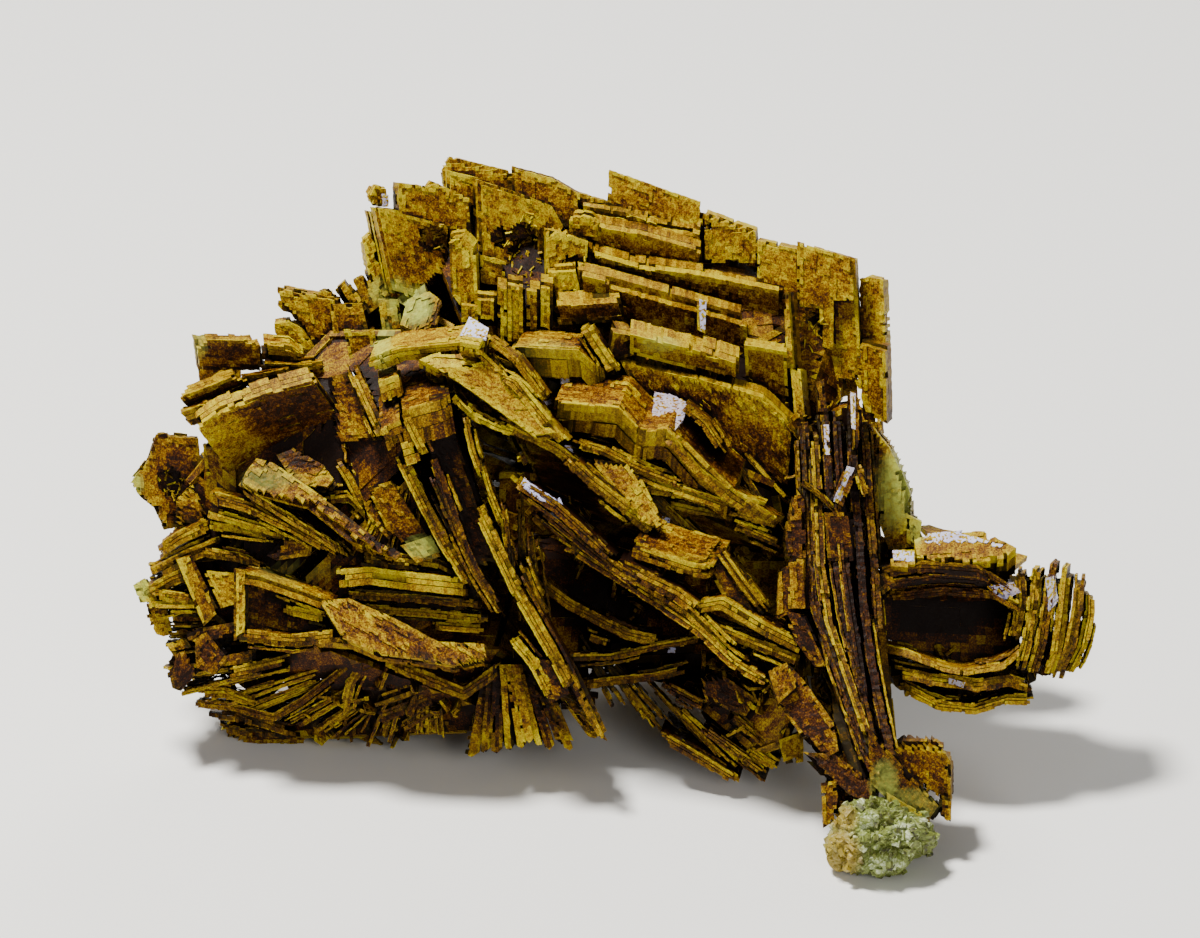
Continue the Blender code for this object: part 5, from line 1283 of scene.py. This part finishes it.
def grow_crowd(store, chance, outline, depth, lean):
    """A crowd of small plates that fills an outline of the picture at about one depth, with one plate behind
    them. Plates and backing are painted darker as shade."""
    outline = np.array(outline, float)
    low, high = outline.min(0), outline.max(0)
    middle = outline.mean(0)
    inner = middle + (outline - middle) * 0.86
    scale = min(1.0, (high - low).min() / 62)
    backing = [tuple(middle + (point - middle) * 0.95) for point in outline]
    # The backing plate, painted darker as shade.
    grow_plate(store, Plate(backing, depth, lean, 7), chance, layers=1, ragged=5.0, cover=0.5,
               tint=CORE_SHADE_TINT, size=6.0)
    for _ in range(int((high - low).prod() / 330)):
        spot = chance.uniform(low, high)
        if not is_inside(spot[None], inner)[0]:
            continue
        turn = chance.normal(0.5, 0.5)
        long, wide = scale * chance.uniform(12, 25), scale * chance.uniform(6, 15)
        along, across = np.array([cos(turn), sin(turn)]), np.array([-sin(turn), cos(turn)])
        cut = chance.uniform(0.3, 0.9)
        outer = [
            (-long, -wide),
            (long * cut, -wide),
            (long, wide * chance.uniform(-0.5, 0.8)),
            (long * 0.7, wide),
            (-long, wide),
        ]
        shape = [tuple(spot + a * along + b * across) for a, b in outer]
        deep = depth + lean[0] * (spot[0] - outline[0][0]) - lean[1] * (spot[1] - outline[0][1])
        deep += chance.choice([6, -8]) + chance.uniform(-4, 4)
        slope = (lean[0] + chance.uniform(-0.5, 0.5), lean[1] + chance.uniform(-0.5, 0.5))
        plate = Plate(shape, deep, slope, chance.uniform(3, 7))
        grow_plate(store, plate, chance, layers=1, tint=CROWD_SHADE_TINT, size=5.2, spread=0.16)


def grow_flat(store, outline, start, along, across, thick, chance, **options):
    """A crystal whose outline lies in the plane of two directions through a point."""

    def to_body(points):
        return start + points[:, :1] * along + points[:, 1:] * across

    grow(store, outline, to_body, thick, chance, **options)


def grow_fans(store, chance):
    """Thin blades that spread from a hub, seen on their edges."""
    for hub, first, last, count, reach, depth in FANS:
        hub, first, last = (np.array(point, float) for point in (hub, first, last))
        for _ in range(count):
            tip = first + (last - first) * chance.random() + chance.normal(0, 3, 3)
            run = tip - hub
            length = min(np.linalg.norm(run) * chance.uniform(0.4, 0.75), reach * chance.uniform(0.6, 1.1))
            along = unit(run)
            begin = tip - along * length
            inward = np.array([0, chance.uniform(-0.25, 0.1), -1.0])
            inward = unit(inward - along * (inward @ along))
            flat = np.cross(along, inward)
            breadth = depth * chance.uniform(0.5, 1.0)
            cut = chance.uniform(0.1, 0.5) * breadth
            outline = [(0, 0), (length - cut * 0.4, 0), (length, cut), (length - 2, breadth), (0, breadth)]
            thick = rotate(flat) * chance.uniform(1.8, 4.2)
            grow_flat(store, outline, place(begin), rotate(along), rotate(inward), thick, chance, layers=1,
                      size=4.0, ragged=3.0)


def grow_druse(store, chance, count):
    """Small plates that stand out of the core's sides, off the ground and away from the mouth of the
    rosette's hollow.
    """
    masses = core_points()
    made = 0
    while made < count:
        pick = chance.integers(len(masses))
        planes = CORE_PLANES[pick]
        plane = planes[chance.integers(len(planes))]
        mix = chance.dirichlet(np.full(len(masses[pick]), 0.5))
        spot = mix @ masses[pick]
        spot = spot + plane[:3] * (plane[3] - spot @ plane[:3])
        if abs(depth_in_core(spot[None])[0]) > 2.5 or spot[2] < 6:
            continue
        if patches_at(spot[None], (HOLLOW_MOUTH,))[0] > 0:
            continue
        made += 1
        outward = unit(plane[:3] + chance.normal(0, 0.42, 3))
        across = unit(np.cross(outward, chance.normal(0, 1, 3)))
        flat = unit(np.cross(outward, across))
        width = chance.uniform(9, 26)
        reach = chance.uniform(7, 19)
        thick = chance.uniform(2.2, 5.0)
        outline = [
            (-9, -width * 0.4),
            (reach * 0.6, -width * 0.5),
            (reach, width * chance.uniform(-0.3, 0.2)),
            (reach * 0.75, width * 0.5),
            (-9, width * 0.4),
        ]
        grow_flat(store, outline, spot, outward, across, flat * thick, chance, layers=1, ragged=3.0, size=4.0)


def surface_tree(stores):
    """All crystals so far, for finding the surface that shows at a place of the picture."""
    corners, faces, count = [], [], 0
    for store in stores.values():
        if store.corners:
            corners.append(np.vstack(store.corners))
            faces.append(np.vstack(store.faces) + count)
            count += len(corners[-1])
    return BVHTree.FromPolygons(np.vstack(corners).tolist(), np.vstack(faces).tolist())


def depth_at(tree, x, y):
    """Depth of the surface that shows at a picture point, or None."""
    start = Vector(place([x, y, 600]))
    hit = tree.ray_cast(start, -Vector(rotate([0, 0, 1])))[0]
    return None if hit is None else picture(hit)[2]


def add_facets(store, tree, chance):
    """Smooth facets with a painted glint: thin plates on whatever crystal shows at their place, as steep as
    the surface there.
    """
    for outline, clean in SMOOTH_GLINT_FACETS:
        points = np.array(outline, float)
        middle = points.mean(0)
        spots = [middle + (point - middle) * share for point in points for share in (0.25, 0.6)]
        found = [(x, y, depth_at(tree, x, y)) for x, y in spots]
        found = np.array([spot for spot in found if spot[2] is not None])
        if len(found) < 3:
            continue
        typical = np.median(found[:, 2])
        found = found[np.abs(found[:, 2] - typical) < 9]
        sides = np.column_stack([np.ones(len(found)), found[:, 0] - middle[0], found[:, 1] - middle[1]])
        weight = np.diag([0.01, 8.0, 8.0])
        level, right, down = np.linalg.solve(sides.T @ sides + weight, sides.T @ found[:, 2])
        right, down = np.clip([right, down], -1.3, 1.3)
        first = points[0] - middle
        depth = level + right * first[0] + down * first[1] + 1.2
        plate = Plate(outline, depth, (right, -down), 2.8)
        grow_plate(store, plate, chance, layers=1, ragged=0.6, cover=1.0, clean=clean)


def add_pit_blades(store, tree, chance):
    """Tiny loose blades in the etched pits."""
    for x, y, wide, high in PITS:
        for _ in range(int(wide * high / 14)):
            angle = chance.uniform(0, 2 * pi)
            share = chance.random() ** 0.5 * 0.95
            at = (x + wide * share * cos(angle), y + high * share * sin(angle))
            depth = depth_at(tree, *at)
            if depth is None:
                continue
            length = chance.uniform(3, 9)
            width = chance.uniform(1.0, 2.2)
            turn = chance.uniform(0, pi)
            along = rotate([cos(turn), sin(turn), chance.uniform(-0.3, 0.5)])
            normal = unit(np.cross(along, chance.normal(0, 1, 3)))
            across = np.cross(normal, along)
            start = place([*at, depth + 0.8])
            long, wide_half = length / 2, width / 2
            outline = [(-long, -wide_half), (long, -wide_half), (long, wide_half), (-long, wide_half)]
            grow_flat(store, outline, start, along, across, normal * 1.3, chance, layers=1, ragged=0,
                      cover=1.0, tint=chance.uniform(-0.15, 0.25))


def grow_core(store, chance):
    """The grown-together middle: every side of every mass is a terraced sheet, except sides on the ground."""
    for points in core_points():
        body = hull_body(points)
        bmesh.ops.delete(body, geom=[v for v in body.verts if not v.link_faces], context="VERTS")
        bmesh.ops.dissolve_limit(body, angle_limit=0.12, verts=body.verts, edges=body.edges)
        bmesh.ops.recalc_face_normals(body, faces=body.faces)
        for face in body.faces:
            corners = np.array([vertex.co for vertex in face.verts])
            normal = np.array(face.normal)
            along = unit(corners[1] - corners[0])
            across = np.cross(normal, along)
            start = corners[0]
            outline = np.stack([(corners - start) @ along, (corners - start) @ across], -1)
            if normal[2] < -0.9 and corners[:, 2].max() < 2:
                continue
            # The core's sheets are painted darker as shade.
            grow_flat(store, outline, start, along, across, -normal * 9, chance, layers=1, ragged=1.5,
                      cover=0.5, tint=CORE_SHADE_TINT, size=8.5, deepest=7.0)
        body.free()


def filled_cells(points):
    """A coarse grid of the places that hold any surface, for telling open faces from crevices."""
    low = points.min(0) - LOOK_MARGIN
    grid = np.zeros(tuple(np.ceil((points.max(0) + LOOK_MARGIN - low) / LOOK_CELL).astype(int)), bool)
    grid[tuple(((points - low) / LOOK_CELL).astype(int).T)] = True
    return grid, low


def all_directions():
    """Evenly spread directions."""
    number = np.arange(LOOK_WAYS)
    height = 1 - (2 * number + 1) / LOOK_WAYS
    angle = number * GOLDEN_ANGLE
    flat = np.sqrt(1 - height**2)
    return np.stack([flat * np.cos(angle), flat * np.sin(angle), height], -1)


def shelter(grid, low, centres, normals):
    """The share of the view from each face, 0 to 1, that something near it blocks, and whether no direction
    at all is open."""
    blocked = np.zeros(len(centres))
    open_ways = np.zeros(len(centres))
    total = np.zeros(len(centres))
    start = centres + normals * LOOK_START
    for way in all_directions():
        weight = np.clip(normals @ way, 0, 1)
        facing = np.nonzero(weight > 0.15)[0]
        hit = np.zeros(len(facing))
        for reach in LOOK_STEPS:
            cells = ((start[facing] + way * reach - low) / LOOK_CELL).astype(int)
            cells = np.clip(cells, 0, np.array(grid.shape) - 1)
            hit = np.maximum(hit, grid[cells[:, 0], cells[:, 1], cells[:, 2]] * (1 - reach / LOOK_FADE))
        blocked[facing] += weight[facing] * hit
        open_ways[facing] += hit == 0
        total[facing] += weight[facing]
    return blocked / np.maximum(total, 1e-9), open_ways < 1


def blob(points, x, y, wide, high):
    """1 inside an oval of the picture, falling to 0 at its rim."""
    off = ((points[:, 0] - x) / wide) ** 2 + ((points[:, 1] - y) / high) ** 2
    return np.clip(1.4 - off, 0, 1)


def patches_at(points, patches):
    """Strength of the picture's patches at points on the viewer's side: 0 outside them."""
    flat = picture(points)
    total = np.zeros(len(points))
    for x, y, wide, high, strength in patches:
        total = np.maximum(total, strength * blob(flat, x, y, wide, high))
    return total * (flat[:, 2] > -75)


def new_mesh_object(name, corners, faces, values):
    """One object from corner and face arrays; three-cornered faces repeat their last corner."""
    mesh = bpy.data.meshes.new(name)
    three = faces[:, 2] == faces[:, 3]
    sizes = np.where(three, 3, 4)
    loops = faces.reshape(-1)
    keep = np.ones(len(loops), bool)
    keep[3::4] = ~three
    loops = loops[keep]
    mesh.vertices.add(len(corners))
    mesh.vertices.foreach_set("co", corners.astype(np.float32).reshape(-1))
    mesh.loops.add(len(loops))
    mesh.loops.foreach_set("vertex_index", loops.astype(np.int32))
    mesh.polygons.add(len(faces))
    starts = np.concatenate([[0], np.cumsum(sizes)[:-1]]).astype(np.int32)
    mesh.polygons.foreach_set("loop_start", starts)
    mesh.update(calc_edges=True)
    for column, title in enumerate(VALUE_NAMES):
        layer = mesh.attributes.new(title, "FLOAT", "FACE")
        layer.data.foreach_set("value", values[:, column].astype(np.float32))
    mesh.shade_flat()
    mesh.update()
    thing = bpy.data.objects.new(name, mesh)
    bpy.context.scene.collection.objects.link(thing)
    return thing


def face_normals(corners, faces):
    """Outward directions of faces with three or four corners."""
    one = corners[faces[:, 0]]
    normal = np.cross(corners[faces[:, 2]] - one, corners[faces[:, 1]] - corners[faces[:, 3]])
    three = faces[:, 2] == faces[:, 3]
    normal[three] = np.cross(corners[faces[:, 1]] - one, corners[faces[:, 2]] - one)[three]
    normal[~three] *= -1
    return normal / np.maximum(np.linalg.norm(normal, axis=1, keepdims=True), 1e-9)


def finish_crystals(stores, material):
    """Joins each group's crystals, works out the painted crevice shade over all of them, adds the painted
    light and shade of up and front faces and the stained and shaded patches, drops the faces that nothing can
    see, and hands the pieces to the frame."""
    packed = []
    for name, store in stores.items():
        corners = np.vstack(store.corners)
        faces = np.vstack(store.faces)
        packed.append((name, corners, faces, np.vstack(store.values)))
    centres = [corners[faces].mean(1) for _, corners, faces, _ in packed]
    grid, low = filled_cells(np.vstack(centres))
    for (name, corners, faces, raw), centre in zip(packed, centres):
        normal = face_normals(corners, faces)
        dark, hidden = shelter(grid, low, centre, normal)
        shown = ~hidden
        faces, raw, centre, normal = faces[shown], raw[shown], centre[shown], normal[shown]
        # Painted shade: the more of a face's view is blocked, the darker it is painted.
        painted_crevice_shade = np.clip((dark[shown] - OPEN) / (SHUT - OPEN), 0, 1)
        # Painted light on faces that look up, painted shade on faces towards the viewer.
        tone = raw[:, 1] + UP_PAINTED_LIGHT * normal[:, 2] - FRONT_PAINTED_SHADE * raw[:, 2] * np.clip(-normal[:, 1], 0, 1)
        # Dark patches: partly brown staining, partly painted shade.
        tone -= (0.45 + 0.55 * raw[:, 2]) * patches_at(centre, STAIN_AND_SHADE_PATCHES)
        pale = patches_at(centre, PALE_PATCHES) * (1 - raw[:, 3])
        values = np.stack([raw[:, 0], tone, painted_crevice_shade, pale, raw[:, 3]], -1)
        used, faces = np.unique(faces, return_inverse=True)
        faces = faces.reshape(-1, 4)
        corners = corners[used] * UNIT + SHIFT
        corners[:, 2] = np.maximum(corners[:, 2], 0)
        thing = new_mesh_object(name, corners, faces, values)
        thing.data.materials.append(material)
        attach(thing, "root")
        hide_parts("barite_crystals")
        print(name, len(faces), "faces")


class Nodes:
    """Short calls for building a material."""

    def __init__(self, name):
        self.material = bpy.data.materials.new(name)
        self.material.use_nodes = True
        self.tree = self.material.node_tree
        self.shader = self.tree.nodes["Principled BSDF"]

    def add(self, kind, **inputs):
        node = self.tree.nodes.new(kind)
        for key, value in inputs.items():
            self.feed(node.inputs[key.replace("_", " ")], value)
        return node

    def feed(self, socket, value):
        if isinstance(value, bpy.types.NodeSocket):
            self.tree.links.new(value, socket)
        else:
            socket.default_value = value

    def attribute(self, name):
        node = self.tree.nodes.new("ShaderNodeAttribute")
        node.attribute_name = name
        return node.outputs["Fac"]

    def math(self, operation, *values):
        node = self.tree.nodes.new("ShaderNodeMath")
        node.operation = operation
        for socket, value in zip(node.inputs, values):
            self.feed(socket, value)
        return node.outputs[0]

    def noise(self, coordinates, scale, detail=3.0, roughness=0.6):
        node = self.add("ShaderNodeTexNoise", Vector=coordinates, Scale=scale, Detail=detail,
                        Roughness=roughness)
        return node.outputs["Fac"]

    def ramp(self, value, stops):
        node = self.tree.nodes.new("ShaderNodeValToRGB")
        self.feed(node.inputs[0], value)
        while len(node.color_ramp.elements) < len(stops):
            node.color_ramp.elements.new(0.5)
        for element, (position, colour) in zip(node.color_ramp.elements, stops):
            element.position = position
            element.color = (*colour, 1)
        return node.outputs["Color"]

    def mix(self, factor, first, second):
        node = self.tree.nodes.new("ShaderNodeMix")
        node.data_type = "RGBA"
        self.feed(node.inputs[0], factor)
        self.feed(node.inputs[6], first)
        self.feed(node.inputs[7], second)
        return node.outputs[2]


def barite_material():
    """Golden brown crystals: painted shade dark in the crevices, painted highlight pale yellow on the rims, a
    painted lavender glint on smooth facets, with a sugary grain.
    """
    nodes = Nodes("barite")
    spot = nodes.tree.nodes.new("ShaderNodeTexCoord").outputs["Object"]
    rim_highlight = nodes.attribute("rim_highlight")
    tone = nodes.attribute("tone")
    painted_crevice_shade = nodes.attribute("painted_crevice_shade")
    pale = nodes.attribute("pale")
    clean = nodes.attribute("clean")
    broad = nodes.noise(spot, BROAD_SCALE, 3.0)
    patch = nodes.noise(spot, PATCH_SCALE, 3.0)
    fine = nodes.noise(spot, FINE_SCALE, 2.0, 0.7)
    light = nodes.math("MULTIPLY_ADD", broad, 0.6, nodes.math("MULTIPLY_ADD", patch, 0.36, -0.48))
    light = nodes.math("ADD", nodes.math("MULTIPLY_ADD", fine, 1.1, -0.55), light)
    light = nodes.math("ADD", light, tone)
    # Painted crevice shade darkens the colour.
    light = nodes.math("MULTIPLY_ADD", painted_crevice_shade, -0.62, light)
    grainy = nodes.math("MULTIPLY_ADD", patch, 1.1, nodes.math("MULTIPLY", fine, 0.4))
    # Painted rim highlight, which fades in the painted crevice shade and on dark faces.
    rim_highlight_share = nodes.math("MULTIPLY", rim_highlight, grainy)
    rim_highlight_share = nodes.math("MULTIPLY", rim_highlight_share, nodes.math("MULTIPLY_ADD", painted_crevice_shade, -0.95, 1.0))
    colour = nodes.ramp(nodes.math("MULTIPLY_ADD", rim_highlight_share, 0.16, light), GOLD_STOPS)
    lit = nodes.math("MAXIMUM", nodes.math("MULTIPLY_ADD", tone, 1.6, -0.15), 0.0)
    rim_highlight_share = nodes.math("MULTIPLY", rim_highlight_share, nodes.math("MINIMUM", lit, 0.75))
    colour = nodes.mix(rim_highlight_share, colour, (*RIM_HIGHLIGHT_COLOUR, 1))
    speck = nodes.noise(spot, SPECK_SCALE, 2.0)
    dark_speck = nodes.math("MULTIPLY", nodes.math("GREATER_THAN", speck, 0.60), 0.75)
    dark_speck = nodes.math("MULTIPLY", dark_speck, nodes.math("MULTIPLY_ADD", rim_highlight, -0.85, 1.0))
    colour = nodes.mix(dark_speck, colour, (*SPECK_COLOUR, 1))
    pale_share = nodes.math("MULTIPLY", pale, nodes.math("MULTIPLY_ADD", patch, 1.5, -0.05))
    pale_share = nodes.math("MULTIPLY", pale_share, nodes.math("MULTIPLY_ADD", painted_crevice_shade, -0.7, 1.0))
    colour = nodes.mix(pale_share, colour, (*PALE_COLOUR, 1))
    # Painted glint: a dotted lavender white painted reflection on smooth facets; their lower roughness is
    # real.
    dots = nodes.noise(spot, DOT_SCALE, 1.0, 0.5)
    clean_share = nodes.math("MULTIPLY", clean, nodes.math("LESS_THAN", dots, 0.56))
    colour = nodes.mix(nodes.math("MULTIPLY", clean_share, 0.85), colour, (*GLINT_COLOUR, 1))
    nodes.feed(nodes.shader.inputs["Base Color"], colour)
    rough = nodes.math("MULTIPLY_ADD", fine, 0.35, 0.34)
    rough = nodes.math("MULTIPLY_ADD", clean, -0.3, rough)
    nodes.feed(nodes.shader.inputs["Roughness"], rough)
    grains = nodes.noise(spot, BARITE_BUMP_SCALE, 3.0, 0.7)
    bump = nodes.add("ShaderNodeBump", Height=grains, Strength=0.55, Distance=0.00010)
    nodes.feed(nodes.shader.inputs["Normal"], bump.outputs["Normal"])
    nodes.shader.inputs["IOR"].default_value = 1.45
    nodes.shader.inputs["Specular IOR Level"].default_value = 0.14
    return nodes.material


def matrix_material():
    """The knob's crust: pale green to white grains with ochre on its left."""
    nodes = Nodes("pale_matrix")
    spot = nodes.tree.nodes.new("ShaderNodeTexCoord").outputs["Object"]
    tone = nodes.attribute("tone")
    ochre = nodes.attribute("pale")
    fine = nodes.noise(spot, CRUST_SCALE, 4.0, 0.7)
    light = nodes.math("MULTIPLY_ADD", fine, 0.9, nodes.math("SUBTRACT", tone, 0.45))
    colour = nodes.ramp(light, MATRIX_STOPS)
    colour = nodes.mix(nodes.math("MULTIPLY", ochre, 0.8), colour, (*OCHRE_COLOUR, 1))
    nodes.feed(nodes.shader.inputs["Base Color"], colour)
    nodes.shader.inputs["Roughness"].default_value = 0.5
    nodes.shader.inputs["Subsurface Weight"].default_value = 0.12
    nodes.shader.inputs["Subsurface Radius"].default_value = (0.0008, 0.001, 0.0006)
    grains = nodes.noise(spot, CRUST_BUMP_SCALE, 3.0, 0.7)
    bump = nodes.add("ShaderNodeBump", Height=grains, Strength=0.6, Distance=0.00015)
    nodes.feed(nodes.shader.inputs["Normal"], bump.outputs["Normal"])
    return nodes.material


def dense_outline(outline, count):
    """A closed outline with more points, evenly spaced."""
    points = np.array(outline + outline[:1], float)
    lengths = np.concatenate([[0], np.cumsum(np.hypot(*np.diff(points, axis=0).T))])
    spots = np.linspace(0, lengths[-1], count, endpoint=False)
    return np.stack([np.interp(spots, lengths, points[:, axis]) for axis in range(2)], -1)


def knob(material, chance):
    """The pale knob: a lump covered with grains of several sizes."""
    around = CRUST_AROUND
    outline = dense_outline(KNOB_OUTLINE, around)
    outline = (outline + np.roll(outline, 2, 0) + np.roll(outline, -2, 0)) / 3
    points = knob_ring_points(outline, CRUST_RINGS)
    centre = place(np.array(KNOB_CENTRE, float))
    rows = len(points)
    corners = points.reshape(-1, 3)
    out = corners - centre
    distance = np.linalg.norm(out, axis=1, keepdims=True)
    way = out / distance
    lift = np.empty(len(corners))
    for n, corner in enumerate(corners):
        where = Vector(corner)
        grains = noise.voronoi(where / 9)[0]
        small = noise.voronoi(where / 3.6)[0]
        lift[n] = 5.5 * noise.noise(where / 17) + 9.0 * (0.42 - grains[0]) + 3.2 * (0.4 - small[0])
        lift[n] += 2.0 * noise.noise(where / 2.4)
    corners = corners + way * np.minimum(lift, CRUST_LIFT)[:, None]
    corners[:, 2] = np.maximum(corners[:, 2], 0)
    i, j = np.meshgrid(np.arange(rows - 1), np.arange(around), indexing="ij")
    after = (j + 1) % around
    faces = np.stack([i * around + after, i * around + j, (i + 1) * around + j, (i + 1) * around + after], -1)
    faces = faces.reshape(-1, 4)
    ends = []
    for row, flip in ((0, False), (rows - 1, True)):
        corners = np.vstack([corners, corners[row * around:(row + 1) * around].mean(0)])
        tip = len(corners) - 1
        one = row * around + np.arange(around)
        two = row * around + (np.arange(around) + 1) % around
        fan = np.stack([one, two, np.full(around, tip), np.full(around, tip)], -1)
        ends.append(fan[:, [1, 0, 2, 3]] if flip else fan)
    faces = np.vstack([faces, *ends])
    centres = corners[faces].mean(1)
    flat = picture(centres)
    values = np.zeros((len(faces), 5))
    values[:, 1] = 0.5 + 0.12 * chance.uniform(-1, 1, len(faces))
    for x, y, wide, high in WHITE_PATCHES:
        values[:, 1] += 0.28 * blob(flat, x, y, wide, high)
    values[:, 3] = ochre_share(centres)
    hand_over_knob(new_mesh_object("knob_crust", corners * UNIT + SHIFT, faces, values), material)
    grow_knob_grains(material, corners[:rows * around], way, chance)


def hand_over_knob(thing, material):
    """Gives a piece of the knob its material, hangs it on the root and hides the frame's knob."""
    thing.data.materials.append(material)
    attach(thing, "root")
    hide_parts("matrix_knob")


def grow_knob_grains(material, corners, ways, chance):
    """Small blocky crystals half sunk in the knob's crust."""
    store = Store()
    for pick in chance.choice(len(corners), KNOB_GRAINS, replace=False):
        spot, way = corners[pick], ways[pick]
        if spot[2] < 5:
            continue
        along = unit(way + chance.normal(0, 0.5, 3))
        across = unit(np.cross(along, chance.normal(0, 1, 3)))
        flat = np.cross(along, across)
        half = chance.uniform(1.5, 5.0)
        length = chance.uniform(1.0, 3.4)
        outline = [(-4, -half), (length, -half), (length, half), (-4, half)]
        grow_flat(store, outline, spot, along, across, flat * chance.uniform(2, 6), chance,
                  layers=1, size=2.6, ragged=0.8, tint=chance.uniform(-0.2, 0.3))
    corners, faces, raw = np.vstack(store.corners), np.vstack(store.faces), np.vstack(store.values)
    centres = corners[faces].mean(1)
    values = np.zeros((len(faces), 5))
    values[:, 1] = raw[:, 1]
    values[:, 3] = ochre_share(centres)
    corners = corners * UNIT + SHIFT
    corners[:, 2] = np.maximum(corners[:, 2], 0)
    hand_over_knob(new_mesh_object("knob_grains", corners, faces, values), material)


def ochre_share(centres):
    """How ochre the knob is at each point."""
    flat = picture(centres)
    return np.max([strength * blob(flat, *oval) for *oval, strength in OCHRE_PATCHES], axis=0)


def plain_material(name, colour, roughness):
    """One colour all over."""
    nodes = Nodes(name)
    nodes.shader.inputs["Base Color"].default_value = (*colour, 1)
    nodes.shader.inputs["Roughness"].default_value = roughness
    return nodes.material


def floor():
    """A plain pale floor."""
    mesh = bpy.data.meshes.new("floor")
    corners = [(x * FLOOR_HALF, y * FLOOR_HALF, 0) for x, y in ((-1, -1), (1, -1), (1, 1), (-1, 1))]
    mesh.from_pydata(corners, [], [(0, 1, 2, 3)])
    thing = bpy.data.objects.new("floor", mesh)
    bpy.context.scene.collection.objects.link(thing)
    thing.data.materials.append(plain_material("floor", FLOOR_COLOUR, FLOOR_ROUGHNESS))


def lamp(name, spot, size, power, colour):
    """A round soft lamp that aims at the specimen."""
    light = bpy.data.lights.new(name, "AREA")
    light.shape = "DISK"
    light.size = size
    light.energy = power
    light.color = colour
    thing = bpy.data.objects.new(name, light)
    thing.location = spot
    thing.rotation_euler = (Vector(AIM) - Vector(spot)).to_track_quat("-Z", "Y").to_euler()
    bpy.context.scene.collection.objects.link(thing)


def studio():
    """The floor, the lamps and the light from all around."""
    floor()
    for name, (spot, size, power, colour) in LAMPS.items():
        lamp(name, spot, size, power, colour)
    world = bpy.data.worlds.new("studio")
    world.use_nodes = True
    background = world.node_tree.nodes["Background"]
    background.inputs["Color"].default_value = (*SKY_COLOUR, 1)
    background.inputs["Strength"].default_value = SKY_STRENGTH
    bpy.context.scene.world = world


def camera():
    """A long lens from the picture's angle, framed so that a picture point is a pixel of the picture."""
    eye = bpy.data.cameras.new("camera")
    thing = bpy.data.objects.new("camera", eye)
    bpy.context.scene.collection.objects.link(thing)
    aim = place([PICTURE_SIZE[0] / 2, PICTURE_SIZE[1] / 2, 0]) * UNIT + SHIFT
    toward = rotate([0, 0, 1])
    thing.location = aim + toward * CAMERA_DISTANCE
    thing.rotation_euler = (-Vector(toward)).to_track_quat("-Z", "Y").to_euler()
    eye.sensor_width = SENSOR_WIDTH
    eye.lens = eye.sensor_width * CAMERA_DISTANCE / (PICTURE_SIZE[0] * UNIT)
    bpy.context.scene.camera = thing


def build_crystals():
    """All crystals but the knob's, one store for each piece."""
    chance = np.random.default_rng(CRYSTAL_SEED)
    stores = {name: Store() for name in PIECES}
    for name, groups in PIECES.items():
        for group in groups:
            grow_all(stores[name], group, chance, **HABITS.get(name, {}))
    grow_back(stores["back_bundles"], chance)
    grow_fans(stores["thin_blades"], chance)
    for outline, depth, lean in FILL:
        grow_crowd(stores["crowds"], chance, outline, depth, lean)
    grow_druse(stores["druse"], chance, DRUSE_COUNT)
    grow_core(stores["core"], chance)
    tree = surface_tree(stores)
    add_facets(stores["clean_facets"], tree, chance)
    add_pit_blades(stores["pit_blades"], tree, chance)
    return stores


# The pieces, and the groups of crystals that each is grown from. The empty ones are filled by rules.
PIECES = {
    "upper_left_stack": (UPPER_LEFT, small_prisms()),
    "stepped_rows": (STAIRCASE, ROOF, TOP_EDGE),
    "upper_bundle": (UPPER_DIAGONAL, MIDDLE_DIAGONAL),
    "steep_blades": (STEEP_BLADES,),
    "lower_bundle": (LOWER_DIAGONAL, HOLLOW),
    "column": (COLUMN,),
    "rosette": (ROSETTE,),
    "left_fan": (LEFT_FAN,),
    "left_middle": (LEFT_MIDDLE,),
    "frame_crystal": (FRAME_CRYSTAL,),
    "lower_left": (LOWER_LEFT,),
    "bottom_fan": (bottom_fan(), LOWER_MIDDLE),
    "back_bundles": (),
    "thin_blades": (),
    "crowds": (),
    "druse": (),
    "core": (),
    "clean_facets": (),
    "pit_blades": (),
}
finish_crystals(build_crystals(), barite_material())
knob(matrix_material(), np.random.default_rng(KNOB_SEED))
studio()
camera()
